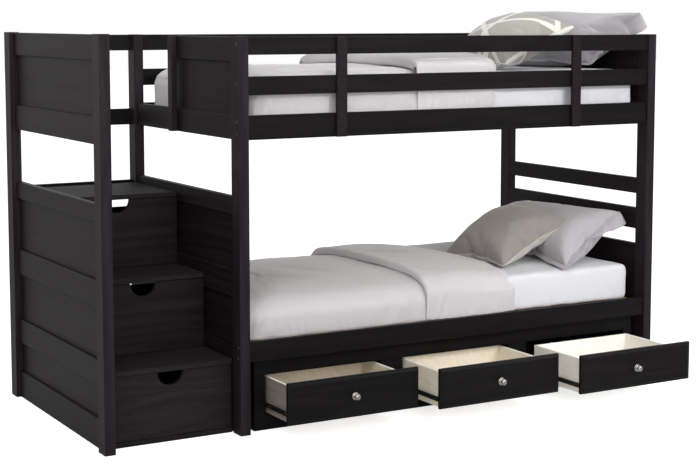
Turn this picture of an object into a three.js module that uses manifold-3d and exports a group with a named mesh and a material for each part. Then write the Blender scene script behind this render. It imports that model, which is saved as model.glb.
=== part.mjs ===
// Twin bunk bed with a storage staircase: two bunks on six posts, a stair of three drawer steps at the left
// end, and a chest of three drawers under the lower bunk. Millimetres, +Z up, +X along the length, +Y to the
// back. The origin is on the floor at the middle of the box around the whole, with the under-bed drawers
// standing part open.
import * as THREE from "three";
import { ConvexGeometry } from "three/addons/geometries/ConvexGeometry.js";
import { mergeVertices } from "three/addons/utils/BufferGeometryUtils.js";
import Module from "manifold-3d";

const wasm = await Module();
wasm.setup();

// ---------------------------------------------------------------- driving dimensions

// Posts and the overall plan
const postWidth = 42; // along X
const postDepth = 69; // along Y
const postRise = 1; // bunk posts above the guard rails
const stairPostRise = 13; // stair posts above the guard rails
const stairClear = 501; // between the stair end posts and the left bunk posts
const mattressLength = 1905;
const mattressWidth = 990;
const mattressEndPlay = 15; // the posts stand this much further apart than the mattress is long
const mattressSideGap = 21; // between the mattress and each side rail
const boardEase = 2; // chamfer along the edges of boards and posts
const softGap = 0.3; // air between a soft piece and what carries it
const clearance = 0.3; // running and seating gap
const overlap = 1; // how far glued blocks reach into each other and cutters reach past a face

// Long rails
const railThickness = 22;
const railSetback = 7; // outer face behind the posts' outer face
const lowerRailBottom = 278;
const lowerRailHeight = 79;
const upperRailBottom = 1121;
const upperRailHeight = 92;
const guardLowGap = 75; // side rail to middle guard rail
const guardMidRailHeight = 70;
const guardHighGap = 80; // middle to top guard rail
const guardTopRailHeight = 67;
const ledgerWidth = 20; // strip inside each side rail that carries the slats
const ledgerHeight = 20;

// Stiles planted on the outside of the guard rails
const stileWidth = 45;
const stileThickness = 16;
const guardStileInset = 372; // from the posts to each front stile
const entryStileWidth = 40;
const entryStileThickness = 24;
const entryGap = 394; // opening from the stairs to the upper bunk

// Framed ends: a flat sheet with rails planted on its outside
const endSheet = 12;
const endRailProud = 12;
const stairEndSetback = 17.5; // rail faces behind the stair posts' outer faces
const leftEndSetback = 9; // rail faces behind the left bunk posts' outer faces
const stairGuardDrop = 2; // below the stair posts' tops
const stairGuardLowRail = 100;
const endTopRailHeight = 92;
const endLowRailHeight = 92;
const sidePanelRailHeights = [111, 99, 103, 69]; // planted rails of the tall lower panels, from the floor up
const sidePanelFields = [122, 190, 211]; // sheet showing between them
const headboardPanelBottom = 111;
const headboardPanelHeight = 477;
const headboardPanelRailHeight = 92;
const headboardLowGap = 66;
const headboardMidRailHeight = 92;
const headboardHighGap = 64;
const headboardTopRailHeight = 68;

// Rails at the back of the stairs
const stairBackMidRailHeight = 68;
const stairBackLowRailHeight = 46;

// Slatted decks and mattresses
const slatThickness = 18;
const slatWidth = 68;
const slatCount = 14;
const slatEndGap = 30;
const strapWidth = 30;
const strapThickness = 3;
const strapInset = 220;
const upperDeckRise = 74; // slats' top above the side rail's lower edge
const lowerDeckRise = 67;
const mattressThickness = 160;
const mattressEdge = 22;

// Quilts
const quiltThickness = 22;
const quiltSide = 11; // thickness where it is tucked down beside the mattress
const quiltTuck = 155; // how far it hangs down beside the mattress
const quiltEase = 8;
const bareSheet = { upper: 770, lower: 660 }; // length of mattress left bare at the head
const quiltFold = { upper: 383, lower: 445 }; // length of the folded-back, double part
const foldThickness = { upper: 38, lower: 28 }; // of its second layer

// Pillows and cushions: width across the bed, length up the slope, thickness
const pillow = { width: 800, length: 370, thickness: 150, tilt: 28 };
const pillowSides = 20;
const pillowCorner = 0.6; // under 1 squares the outline, over 1 pinches it
const pillowShoulder = 0.7; // under 1 keeps it full towards the edge
const pillowCrown = 1.2; // over 1 flattens the middle
const cushion = { width: 405, length: 405, thickness: 105, tilt: 25 };
const pillowPlace = { end: 20, front: 40 }; // from the headboard and from the mattress' front edge
const cushionFront = 145; // from the mattress' front edge
const pastQuilt = { upper: 118, lower: 8 }; // bare sheet between quilt and cushion

// Stairs
const firstTreadTop = 285;
const treadRise = 295;
const treadThickness = 19;
const treadGoing = 257;
const treadCount = 3;
const noseInset = 75; // first nosing behind the posts' front faces
const stairBackInset = 72; // boards end this far before the bed's back
const bottomBoard = 18;
const sideBoardNoseSetback = 14;
const sideBoardDrop = 2; // side board's edge below each tread's top

// Stair drawers
const stairDrawerSetback = 6; // front behind the nosing
const stairDrawerGap = 2; // around the front
const stairTraySideGap = 5;
const stairTrayHeight = 195;
const stairTrayDepth = 400;
const fingerRadius = 53;
const fingerDrop = 52; // depth of the finger cut-out
const drawerFront = 18;
const trayWall = 12;
const trayBottom = 6;

// Chest under the lower bunk
const chestEndGap = 35; // between the posts and the chest
const chestInset = 42; // its front behind the posts' front faces
const chestDepth = 510;
const chestBoard = 18;
const faceFrame = 22;
const bayCount = 3;
const endStileWidth = 45; // of the face frame, outside the first and last bay
const midStileWidth = 97; // between two bays
const bayBottom = 58;
const bayTop = 215;

// Drawers under the bed, and how far each one stands open
const frontOverlap = 24; // front past the bay at each side
const frontBottom = 74;
const frontHeight = 157;
const frontBevel = 12;
const frontBevelDepth = 5;
const pulls = [224, 302, 384];
const trayLow = 64;
const trayHeight = 141;
const trayLength = 480;
const slideWidth = 13.5; // gap between tray and bay that the slides fill
const slideBottom = 87;
const slideHeight = 18;
const slideSetback = 1; // slides end this far inside the tray's ends
const ledgeHeight = 20;

// Knobs: radius and distance from the drawer front, from the foot to the tip
const knobProfile = [
  [15, 0],
  [15.5, 1.5],
  [14.5, 4],
  [8, 5.5],
  [6.5, 8],
  [7, 14],
  [11, 16],
  [12.5, 19],
  [12, 22.5],
  [8.5, 25.5],
  [4, 26.8],
  [0, 27],
];
const knobSides = 20;

// ---------------------------------------------------------------- places that follow

const guardMidRailBottom = upperRailBottom + upperRailHeight + guardLowGap;
const guardTopRailBottom = guardMidRailBottom + guardMidRailHeight + guardHighGap;
const guardTop = guardTopRailBottom + guardTopRailHeight;
const bunkPostHeight = guardTop + postRise;
const stairPostHeight = guardTop + stairPostRise;
const stairGuardTop = stairPostHeight - stairGuardDrop;
const upperDeckTop = upperRailBottom + upperDeckRise;
const lowerDeckTop = lowerRailBottom + lowerDeckRise;
const headboardPanelTop = headboardPanelBottom + headboardPanelHeight;
const headboardMidRailBottom = headboardPanelTop + headboardLowGap;
const headboardTopRailBottom = headboardMidRailBottom + headboardMidRailHeight + headboardHighGap;

// Bottom and top of each planted rail of the tall lower panels
const sidePanelRails = sidePanelRailHeights.map((height, i) => {
  const below = [...sidePanelRailHeights.slice(0, i), ...sidePanelFields.slice(0, i)];
  const bottom = below.reduce((sum, part) => sum + part, 0);
  return [bottom, bottom + height];
});
const sidePanelTop = Math.max(...sidePanelRails.flat());
const sidePanelTopRailBottom = sidePanelTop - sidePanelRailHeights.at(-1);

const frontRailInner = railSetback + railThickness;
const innerLength = mattressLength + mattressEndPlay;
const bedDepth = mattressWidth + 2 * (mattressSideGap + frontRailInner);
const leftPostX = postWidth + stairClear;
const bunkStartX = leftPostX + postWidth;
const bunkEndX = bunkStartX + innerLength;
const bedLength = bunkEndX + postWidth;
const panelFront = postDepth;
const panelBack = bedDepth - postDepth;
const backRailInner = bedDepth - frontRailInner;
const stairBack = bedDepth - stairBackInset;
const mostOpen = Math.max(...pulls);
const knobLength = knobProfile.at(-1)[1];
const frontmost = chestInset - drawerFront - mostOpen - knobLength;

// ---------------------------------------------------------------- finishes

const espresso = { color: 0x241d1f, roughness: 0.42, metalness: 0 };
const birch = { color: 0xe2d6bc, roughness: 0.6, metalness: 0 };
const slatPine = { color: 0xc9ab7c, roughness: 0.7, metalness: 0 };
const nickel = { color: 0xb9b6b0, roughness: 0.25, metalness: 1 };
const whiteSheet = { color: 0xe9eaf0, roughness: 0.9, metalness: 0 };
const greyQuilt = { color: 0xd3d0d0, roughness: 0.9, metalness: 0 };
const lilacCotton = { color: 0xb9b4bb, roughness: 0.9, metalness: 0 };
const taupeLinen = { color: 0x8b8480, roughness: 0.95, metalness: 0 };
const sageLinen = { color: 0xb0b0a2, roughness: 0.95, metalness: 0 };

// ---------------------------------------------------------------- shapes

const bed = new THREE.Group();

// Adds one named piece with its own finish.
function addPiece(name, geometry, finish, parent = bed) {
  const mesh = new THREE.Mesh(geometry, new THREE.MeshStandardMaterial(finish));
  mesh.name = name;
  parent.add(mesh);
  return mesh;
}

// An outline swept along one axis. Its points are given along the two axes that follow that one in the
// order X, Y, Z, X, Y.
function sweep(outline, axis, start, end, curveSegments = 12) {
  const shape = Array.isArray(outline) ? new THREE.Shape(outline.map((p) => new THREE.Vector2(...p))) : outline;
  const geometry = new THREE.ExtrudeGeometry(shape, { depth: end - start, bevelEnabled: false, curveSegments });
  const unit = { x: new THREE.Vector3(1, 0, 0), y: new THREE.Vector3(0, 1, 0), z: new THREE.Vector3(0, 0, 1) };
  const order = { x: ["y", "z"], y: ["z", "x"], z: ["x", "y"] }[axis];
  const turn = new THREE.Matrix4().makeBasis(unit[order[0]], unit[order[1]], unit[axis]);
  geometry.translate(0, 0, start);
  return geometry.applyMatrix4(turn);
}

// A rectangle with its four corners cut off at 45 degrees.
function easedRectangle([a0, a1], [b0, b1], ease) {
  return [
    [a0 + ease, b0],
    [a1 - ease, b0],
    [a1, b0 + ease],
    [a1, b1 - ease],
    [a1 - ease, b1],
    [a0 + ease, b1],
    [a0, b1 - ease],
    [a0, b0 + ease],
  ];
}

// A board from its spans along X, Y and Z, with its long edges eased.
function board(x, y, z, along, ease = boardEase) {
  const spans = { x: [y, z], y: [z, x], z: [x, y] }[along];
  const [start, end] = { x, y, z }[along];
  return sweep(easedRectangle(...spans, ease), along, start, end);
}

// A plain block from its spans along X, Y and Z.
function block([x0, x1], [y0, y1], [z0, z1]) {
  const geometry = new THREE.BoxGeometry(x1 - x0, y1 - y0, z1 - z0);
  return geometry.translate((x0 + x1) / 2, (y0 + y1) / 2, (z0 + z1) / 2);
}

function toSolid(geometry) {
  const plain = geometry.clone();
  plain.deleteAttribute("normal");
  plain.deleteAttribute("uv");
  const merged = mergeVertices(plain, 1e-4);
  return new wasm.Manifold(
    new wasm.Mesh({
      numProp: 3,
      vertProperties: new Float32Array(merged.attributes.position.array),
      triVerts: new Uint32Array(merged.index.array),
    }),
  );
}

function toGeometry(solid) {
  const mesh = solid.getMesh();
  const geometry = new THREE.BufferGeometry();
  geometry.setAttribute("position", new THREE.BufferAttribute(mesh.vertProperties, 3));
  geometry.setIndex(new THREE.BufferAttribute(mesh.triVerts, 1));
  geometry.computeVertexNormals();
  return geometry;
}

// Pieces glued into one, and a piece with others cut from it.
function glued(first, ...others) {
  return toGeometry(others.reduce((whole, other) => whole.add(toSolid(other)), toSolid(first)));
}
function cut(first, ...others) {
  return toGeometry(others.reduce((whole, other) => whole.subtract(toSolid(other)), toSolid(first)));
}

// ---------------------------------------------------------------- posts

function addPosts() {
  const rows = { front: [0, postDepth], rear: [panelBack, bedDepth] };
  const columns = {
    stair: [0, stairPostHeight],
    left: [leftPostX, bunkPostHeight],
    right: [bunkEndX, bunkPostHeight],
  };
  for (const [column, [x, height]] of Object.entries(columns))
    for (const [row, y] of Object.entries(rows))
      addPiece(`post_${column}_${row}`, board([x, x + postWidth], y, [0, height], "z"), espresso);
}

// ---------------------------------------------------------------- ends

// A sheet with rails across its outer side, which faces -X, or +X where `outward` is 1.
function framedEnd(innerX, outward, y, z, rails) {
  const sheetX = [innerX, innerX + outward * endSheet].sort((a, b) => a - b);
  const railX = [innerX, innerX + outward * (endSheet + endRailProud)].sort((a, b) => a - b);
  const boards = rails.map((span) => board(railX, y, span, "y"));
  return glued(block(sheetX, y, z), ...boards);
}

function addEnds() {
  const y = [panelFront, panelBack];
  const stairInner = stairEndSetback + endSheet + endRailProud;
  const guardRails = [
    [upperRailBottom, upperRailBottom + stairGuardLowRail],
    [stairGuardTop - endTopRailHeight, stairGuardTop],
  ];
  const stairGuard = framedEnd(stairInner, -1, y, [upperRailBottom, stairGuardTop], guardRails);
  addPiece("stair_end_guard", stairGuard, espresso);
  const stairPanel = framedEnd(stairInner, -1, y, [0, sidePanelTop], sidePanelRails);
  addPiece("stair_end_panel", stairPanel, espresso);

  const leftInner = leftPostX + leftEndSetback + endSheet + endRailProud;
  const leftPanel = framedEnd(leftInner, -1, y, [0, sidePanelTop], sidePanelRails);
  addPiece("left_end_panel", leftPanel, espresso);

  // The upper left end closes two thirds of the depth, and its low rail runs on under the way in.
  const guardEnd = panelBack - entryGap;
  const guardY = [panelFront, guardEnd];
  const lowRail = [upperRailBottom, upperRailBottom + endLowRailHeight];
  const leftRailX = [leftPostX + leftEndSetback, leftInner];
  const topRail = [[guardTop - endTopRailHeight, guardTop]];
  const leftGuard = framedEnd(leftInner, -1, guardY, [upperRailBottom, guardTop], topRail);
  addPiece("left_end_guard", glued(leftGuard, board(leftRailX, y, lowRail, "y")), espresso);
  const stileX = [leftRailX[0] - entryStileThickness, leftRailX[0]];
  const stileY = [guardEnd - entryStileWidth, guardEnd];
  addPiece("entry_stile", board(stileX, stileY, [upperRailBottom, guardTop], "z"), espresso);

  const rightGuard = framedEnd(bunkEndX, 1, y, [upperRailBottom, guardTop], [lowRail, ...topRail]);
  addPiece("right_end_guard", rightGuard, espresso);
  const headboardX = [bunkEndX, bunkEndX + endSheet + endRailProud];
  const headboardTopZ = [headboardTopRailBottom, headboardTopRailBottom + headboardTopRailHeight];
  const headboardMidZ = [headboardMidRailBottom, headboardMidRailBottom + headboardMidRailHeight];
  addPiece("headboard_top_rail", board(headboardX, y, headboardTopZ, "y"), espresso);
  addPiece("headboard_mid_rail", board(headboardX, y, headboardMidZ, "y"), espresso);
  const panelRails = [
    [headboardPanelBottom, headboardPanelBottom + headboardPanelRailHeight],
    [headboardPanelTop - headboardPanelRailHeight, headboardPanelTop],
  ];
  const panelZ = [headboardPanelBottom, headboardPanelTop];
  addPiece("headboard_panel", framedEnd(bunkEndX, 1, y, panelZ, panelRails), espresso);
}

// ---------------------------------------------------------------- long rails

function addLongRails() {
  const x = [bunkStartX, bunkEndX];
  const rows = {
    front: {
      rail: [railSetback, frontRailInner],
      ledger: [frontRailInner - boardEase, frontRailInner + ledgerWidth],
    },
    rear: {
      rail: [backRailInner, bedDepth - railSetback],
      ledger: [backRailInner - ledgerWidth, backRailInner + boardEase],
    },
  };
  const sideRails = {
    upper: [upperRailBottom, upperRailHeight, upperDeckTop],
    lower: [lowerRailBottom, lowerRailHeight, lowerDeckTop],
  };
  for (const [row, { rail, ledger }] of Object.entries(rows)) {
    const top = [guardTopRailBottom, guardTop];
    const mid = [guardMidRailBottom, guardMidRailBottom + guardMidRailHeight];
    addPiece(`guard_top_rail_${row}`, board(x, rail, top, "x"), espresso);
    addPiece(`guard_mid_rail_${row}`, board(x, rail, mid, "x"), espresso);
    for (const [level, [bottom, height, deckTop]] of Object.entries(sideRails)) {
      const ledgerTop = deckTop - slatThickness;
      const strip = block(x, ledger, [ledgerTop - ledgerHeight, ledgerTop]);
      const side = board(x, rail, [bottom, bottom + height], "x");
      addPiece(`${level}_side_rail_${row}`, glued(side, strip), espresso);
    }
  }
}

function addGuardStiles() {
  const y = [railSetback - stileThickness, railSetback];
  const z = [upperRailBottom, guardTop];
  const left = bunkStartX + guardStileInset;
  const right = bunkEndX - guardStileInset - stileWidth;
  addPiece("guard_stile_left", board([left, left + stileWidth], y, z, "z"), espresso);
  addPiece("guard_stile_right", board([right, right + stileWidth], y, z, "z"), espresso);
}

function addStairBackRails() {
  const x = [postWidth, leftPostX];
  const y = [backRailInner, bedDepth - railSetback];
  const levels = {
    top: [guardTopRailBottom, guardTop],
    mid: [upperRailBottom, upperRailBottom + stairBackMidRailHeight],
    low: [sidePanelTopRailBottom, sidePanelTopRailBottom + stairBackLowRailHeight],
  };
  for (const [level, z] of Object.entries(levels))
    addPiece(`stair_back_${level}_rail`, board(x, y, z, "x"), espresso);
}

// ---------------------------------------------------------------- decks

// Slats across the bed, held at their spacing by two webbing straps stapled underneath.
function slatDeck(deckTop) {
  const y = [frontRailInner + clearance, backRailInner - clearance];
  const z = [deckTop - slatThickness, deckTop];
  const first = bunkStartX + slatEndGap;
  const last = bunkEndX - slatEndGap - slatWidth;
  const slats = [];
  for (let i = 0; i < slatCount; i++) {
    const x = first + ((last - first) * i) / (slatCount - 1);
    slats.push(block([x, x + slatWidth], y, z));
  }
  const strapZ = [z[0] - strapThickness, z[0]];
  const strapsX = [first, last + slatWidth];
  const frontStrap = [y[0] + strapInset, y[0] + strapInset + strapWidth];
  const backStrap = [y[1] - strapInset - strapWidth, y[1] - strapInset];
  return glued(block(strapsX, frontStrap, strapZ), block(strapsX, backStrap, strapZ), ...slats);
}

// ---------------------------------------------------------------- stairs

const treadTops = Array.from({ length: treadCount }, (_, i) => firstTreadTop + i * treadRise);
const noses = Array.from({ length: treadCount }, (_, i) => noseInset + i * treadGoing);

function addStairs() {
  const x = [postWidth, leftPostX];
  addPiece("stair_bottom_board", board(x, [noses[0], stairBack], [0, bottomBoard], "x"), espresso);
  treadTops.forEach((top, i) => {
    const tread = board(x, [noses[i], stairBack], [top - treadThickness, top], "x");
    addPiece(`tread_${i + 1}`, tread, espresso);
  });
  const outline = [[stairBack, 0]];
  outline.push([noses[0] + sideBoardNoseSetback, 0]);
  treadTops.forEach((top, i) => {
    outline.push([noses[i] + sideBoardNoseSetback, top - sideBoardDrop]);
    const next = i + 1 < treadCount ? noses[i + 1] + sideBoardNoseSetback : stairBack;
    outline.push([next, top - sideBoardDrop]);
  });
  const sideBoard = sweep(outline.reverse(), "x", leftPostX, leftPostX + leftEndSetback);
  addPiece("stair_side_board", sideBoard, espresso);
}

// A drawer whose front has a half-round finger cut-out, running on the board below it.
function stairDrawer(shelfTop, underTread, nose) {
  const front = nose + stairDrawerSetback;
  const x = [postWidth + stairDrawerGap, leftPostX - stairDrawerGap];
  const z = [shelfTop + stairDrawerGap, underTread - stairDrawerGap];
  const middle = (x[0] + x[1]) / 2;
  const centreZ = z[1] - fingerDrop + fingerRadius;
  const reach = Math.acos((fingerRadius - fingerDrop) / fingerRadius);
  const outline = new THREE.Shape();
  outline.moveTo(z[0], x[0]);
  outline.lineTo(z[1], x[0]);
  outline.absarc(centreZ, middle, fingerRadius, Math.PI + reach, Math.PI - reach, true);
  outline.lineTo(z[1], x[1]);
  outline.lineTo(z[0], x[1]);
  const frontBoard = sweep(outline, "y", front, front + drawerFront, 8);
  const trayX = [postWidth + stairTraySideGap, leftPostX - stairTraySideGap];
  const trayY = [front + drawerFront, front + drawerFront + stairTrayDepth];
  const trayZ = [shelfTop + clearance, shelfTop + clearance + stairTrayHeight];
  const joined = [front + drawerFront / 2, trayY[1]];
  const inside = block(
    [trayX[0] + trayWall, trayX[1] - trayWall],
    [trayY[0], trayY[1] - trayWall],
    [trayZ[0] + trayBottom, trayZ[1] + overlap],
  );
  const solidTray = block(trayX, joined, [z[0], trayZ[1]]);
  const runnerSole = block(trayX, trayY, [trayZ[0], z[0] + overlap]);
  const body = toSolid(solidTray).add(toSolid(runnerSole)).subtract(toSolid(inside));
  return toGeometry(body.add(toSolid(frontBoard)));
}

function addStairDrawers() {
  for (let i = 0; i < treadCount; i++) {
    const shelfTop = i === 0 ? bottomBoard : treadTops[i - 1];
    const drawer = stairDrawer(shelfTop, treadTops[i] - treadThickness, noses[i]);
    addPiece(`stair_drawer_${i + 1}`, drawer, espresso);
  }
}

// ---------------------------------------------------------------- chest under the bed

const chestX = [bunkStartX + chestEndGap, bunkEndX - chestEndGap];
const bayPitch = (chestX[1] - chestX[0] - 2 * endStileWidth + midStileWidth) / bayCount;
const bayWidth = bayPitch - midStileWidth;
const frontWidth = bayWidth + 2 * frontOverlap;
const bayCentres = Array.from(
  { length: bayCount },
  (_, i) => (chestX[0] + chestX[1]) / 2 + (i - (bayCount - 1) / 2) * bayPitch,
);
const chestHeight = lowerDeckTop - slatThickness - ledgerHeight - clearance; // up to the front ledger
const carcassY = [chestInset + faceFrame, chestInset + chestDepth];
const ledgeZ = [slideBottom - clearance - ledgeHeight, slideBottom - clearance];

function addFaceFrame() {
  const shape = new THREE.Shape(
    [
      [0, chestX[0]],
      [chestHeight, chestX[0]],
      [chestHeight, chestX[1]],
      [0, chestX[1]],
    ].map((p) => new THREE.Vector2(...p)),
  );
  for (const centre of bayCentres) {
    const bay = new THREE.Path();
    bay.moveTo(bayBottom, centre - bayWidth / 2);
    bay.lineTo(bayBottom, centre + bayWidth / 2);
    bay.lineTo(bayTop, centre + bayWidth / 2);
    bay.lineTo(bayTop, centre - bayWidth / 2);
    bay.closePath();
    shape.holes.push(bay);
  }
  addPiece("chest_face_frame", sweep(shape, "y", chestInset, chestInset + faceFrame), espresso);
}

// A board with a batten and a slide ledge towards the bay on its left, on its right, or on both sides.
function carcassBoard(x, leftBayEdge, rightBayEdge) {
  const battenZ = [ledgeZ[0], slideBottom + slideHeight];
  const parts = [];
  if (leftBayEdge !== undefined) {
    parts.push(block([leftBayEdge, x[0] + overlap], carcassY, battenZ));
    parts.push(block([leftBayEdge - slideWidth + clearance, leftBayEdge + overlap], carcassY, ledgeZ));
  }
  if (rightBayEdge !== undefined) {
    parts.push(block([x[1] - overlap, rightBayEdge], carcassY, battenZ));
    parts.push(block([rightBayEdge - overlap, rightBayEdge + slideWidth - clearance], carcassY, ledgeZ));
  }
  return glued(block(x, carcassY, [0, chestHeight]), ...parts);
}

function addChest() {
  addFaceFrame();
  const half = bayWidth / 2;
  const leftX = [chestX[0], chestX[0] + chestBoard];
  const rightX = [chestX[1] - chestBoard, chestX[1]];
  addPiece("chest_end_left", carcassBoard(leftX, undefined, bayCentres[0] - half), espresso);
  addPiece("chest_end_right", carcassBoard(rightX, bayCentres[bayCount - 1] + half, undefined), espresso);
  for (let i = 1; i < bayCount; i++) {
    const middle = (bayCentres[i - 1] + bayCentres[i]) / 2;
    const x = [middle - chestBoard / 2, middle + chestBoard / 2];
    const divider = carcassBoard(x, bayCentres[i - 1] + half, bayCentres[i] - half);
    addPiece(`chest_divider_${i}`, divider, espresso);
  }
}

// A drawer front with a bevel all round its face.
function bevelledFront(centre, y) {
  const z = [frontBottom, frontBottom + frontHeight];
  const corners = (inset, depth) =>
    [-1, 1].flatMap((side) => [
      new THREE.Vector3(centre + side * (frontWidth / 2 - inset), depth, z[0] + inset),
      new THREE.Vector3(centre + side * (frontWidth / 2 - inset), depth, z[1] - inset),
    ]);
  return new ConvexGeometry([
    ...corners(0, y + drawerFront),
    ...corners(0, y + frontBevelDepth),
    ...corners(frontBevel, y),
  ]);
}

// A four-sided tray with a slide along each side.
function slidingTray(centre, y) {
  const half = bayWidth / 2 - slideWidth;
  const x = [centre - half, centre + half];
  const z = [trayLow, trayLow + trayHeight];
  const tray = block(x, [y, y + trayLength], z);
  const slideX = [centre - bayWidth / 2 + clearance, centre + bayWidth / 2 - clearance];
  const slideY = [y + slideSetback, y + trayLength - slideSetback];
  const slides = block(slideX, slideY, [slideBottom, slideBottom + slideHeight]);
  const inside = block(
    [x[0] + trayWall, x[1] - trayWall],
    [y + trayWall, y + trayLength - trayWall],
    [z[0] + trayBottom, z[1] + overlap],
  );
  return toGeometry(toSolid(tray).add(toSolid(slides)).subtract(toSolid(inside)));
}

// A turned knob: a foot on the drawer front, a neck and a domed head.
function knobGeometry() {
  const points = [[0, 0], ...knobProfile].map((p) => new THREE.Vector2(...p));
  return new THREE.LatheGeometry(points, knobSides);
}

function addChestDrawers() {
  bayCentres.forEach((centre, i) => {
    const back = chestInset - pulls[i];
    const face = back - drawerFront;
    addPiece(`drawer_front_${i + 1}`, bevelledFront(centre, face), espresso);
    addPiece(`drawer_box_${i + 1}`, slidingTray(centre, back), birch);
    const knob = addPiece(`drawer_knob_${i + 1}`, knobGeometry(), nickel);
    knob.rotation.x = Math.PI;
    knob.position.set(centre, face, frontBottom + frontHeight / 2);
  });
}

// ---------------------------------------------------------------- bedding

// A closed pillow shape: wide, flat and round-cornered, thickest in the middle.
function pillowGeometry({ width, length, thickness }) {
  const geometry = new THREE.SphereGeometry(1, pillowSides, pillowSides / 2);
  const position = geometry.attributes.position;
  const soften = (value, power) => Math.sign(value) * Math.abs(value) ** power;
  for (let i = 0; i < position.count; i++) {
    const height = position.getY(i);
    const round = Math.hypot(position.getX(i), position.getZ(i));
    const angle = Math.atan2(position.getZ(i), position.getX(i));
    const reach = soften(round, pillowShoulder) / 2;
    position.setXYZ(
      i,
      soften(Math.cos(angle), pillowCorner) * reach * width,
      -soften(Math.sin(angle), pillowCorner) * reach * length,
      (soften(height, pillowCrown) / 2) * thickness,
    );
  }
  return geometry;
}

// A pillow across the bed, its lower edge on the bed and its upper edge tipped up towards the headboard.
function addLeaning(name, size, finish, nearestX, frontY, bedTop) {
  const tilt = THREE.MathUtils.degToRad(size.tilt);
  const geometry = pillowGeometry(size).rotateZ(Math.PI / 2).rotateY(-tilt);
  geometry.computeBoundingBox();
  const piece = addPiece(name, geometry, finish);
  const { min } = geometry.boundingBox;
  piece.position.set(nearestX - min.x, frontY - min.y, bedTop + softGap - min.z);
}

// A quilt over the mattress, hanging down beside it and double thick where its top is folded back.
function quilt(level, deckTop) {
  const bedTop = deckTop + softGap + mattressThickness;
  const x0 = bunkStartX + softGap;
  const x1 = bunkEndX - bareSheet[level];
  const side = frontRailInner + mattressSideGap - softGap;
  const y = [side - quiltSide, bedDepth - side + quiltSide];
  const low = bedTop - quiltTuck;
  const under = bedTop + softGap;
  const layer = (start, top) => {
    const outer = board([start, x1], y, [low, top], "x", quiltEase);
    const covered = block([start - overlap, x1 + overlap], [side, bedDepth - side], [low - overlap, under]);
    return cut(outer, covered);
  };
  const single = layer(x0, under + quiltThickness);
  return glued(single, layer(x1 - quiltFold[level], under + quiltThickness + foldThickness[level]));
}

function addBedding(level, deckTop, cushionFinish) {
  const mattressX = bunkStartX + mattressEndPlay / 2;
  const mattressY = frontRailInner + mattressSideGap;
  const low = deckTop + clearance;
  const bedTop = deckTop + softGap + mattressThickness;
  const mattress = board(
    [mattressX, mattressX + mattressLength],
    [mattressY, mattressY + mattressWidth],
    [low, low + mattressThickness],
    "x",
    mattressEdge,
  );
  addPiece(`${level}_mattress`, mattress, whiteSheet);
  addPiece(`${level}_quilt`, quilt(level, deckTop), greyQuilt);
  const reach = (size) => size.length * Math.cos(THREE.MathUtils.degToRad(size.tilt));
  const pillowX = bunkEndX - pillowPlace.end - reach(pillow);
  const cushionX = bunkEndX - bareSheet[level] + pastQuilt[level];
  const pillowY = mattressY + pillowPlace.front;
  const cushionY = mattressY + cushionFront;
  addLeaning(`${level}_pillow`, pillow, lilacCotton, pillowX, pillowY, bedTop);
  addLeaning(`${level}_cushion`, cushion, cushionFinish, cushionX, cushionY, bedTop);
}

// ---------------------------------------------------------------- the whole bed

addPosts();
addEnds();
addLongRails();
addGuardStiles();
addStairBackRails();
addPiece("upper_slats", slatDeck(upperDeckTop), slatPine);
addPiece("lower_slats", slatDeck(lowerDeckTop), slatPine);
addStairs();
addStairDrawers();
addChest();
addChestDrawers();
addBedding("upper", upperDeckTop, sageLinen);
addBedding("lower", lowerDeckTop, taupeLinen);

bed.position.set(-bedLength / 2, -(frontmost + bedDepth) / 2, 0);

export default bed;
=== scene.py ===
import math
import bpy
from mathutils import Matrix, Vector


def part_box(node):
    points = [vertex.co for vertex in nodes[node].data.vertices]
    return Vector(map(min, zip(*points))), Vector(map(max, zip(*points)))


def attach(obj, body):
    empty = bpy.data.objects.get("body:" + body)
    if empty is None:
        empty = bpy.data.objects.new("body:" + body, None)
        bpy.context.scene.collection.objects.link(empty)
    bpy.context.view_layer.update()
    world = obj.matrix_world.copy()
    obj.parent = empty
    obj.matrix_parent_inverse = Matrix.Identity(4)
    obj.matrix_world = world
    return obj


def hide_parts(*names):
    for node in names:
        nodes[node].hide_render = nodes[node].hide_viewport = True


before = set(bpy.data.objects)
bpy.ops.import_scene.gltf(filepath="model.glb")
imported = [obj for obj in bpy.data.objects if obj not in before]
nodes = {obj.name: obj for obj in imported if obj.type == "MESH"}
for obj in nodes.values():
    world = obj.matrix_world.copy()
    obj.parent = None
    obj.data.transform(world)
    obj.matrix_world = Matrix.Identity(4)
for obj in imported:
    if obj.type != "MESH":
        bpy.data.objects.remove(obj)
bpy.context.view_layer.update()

from types import SimpleNamespace

import bmesh
import bpy
import numpy as np
from mathutils import Vector, noise

# ---------------------------------------------------------------- camera
# A long lens at a standing adult's eye height, off the stair end's front corner, held nearly level.
camera_data = bpy.data.cameras.new("camera")
camera_data.sensor_width = 36
camera_data.lens = 79.34
camera_data.shift_y = -0.085
camera = bpy.data.objects.new("camera", camera_data)
camera.location = (-3.2130, -5.5018, 1.5659)
camera.rotation_euler = (math.radians(90 - 5.763), 0, math.radians(-29.861))
bpy.context.scene.collection.objects.link(camera)
bpy.context.scene.camera = camera

# ---------------------------------------------------------------- posts
# Six posts of solid rubberwood, 42 by 69 mm, stained dark espresso and sprayed with a satin lacquer. The
# grain runs up each post and the corners are rounded over by hand sanding before staining.


def set_inputs(tree, node, inputs):
    """Sets a node's inputs, each to a plain value or to another node's output."""
    for name, value in inputs.items():
        if isinstance(value, bpy.types.NodeSocket):
            tree.links.new(value, node.inputs[name])
        else:
            node.inputs[name].default_value = value


def add_node(tree, kind, inputs=None, **settings):
    """Adds a shader node with its settings and inputs."""
    node = tree.nodes.new(f"ShaderNode{kind}")
    for name, value in settings.items():
        setattr(node, name, value)
    set_inputs(tree, node, inputs or {})
    return node


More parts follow.
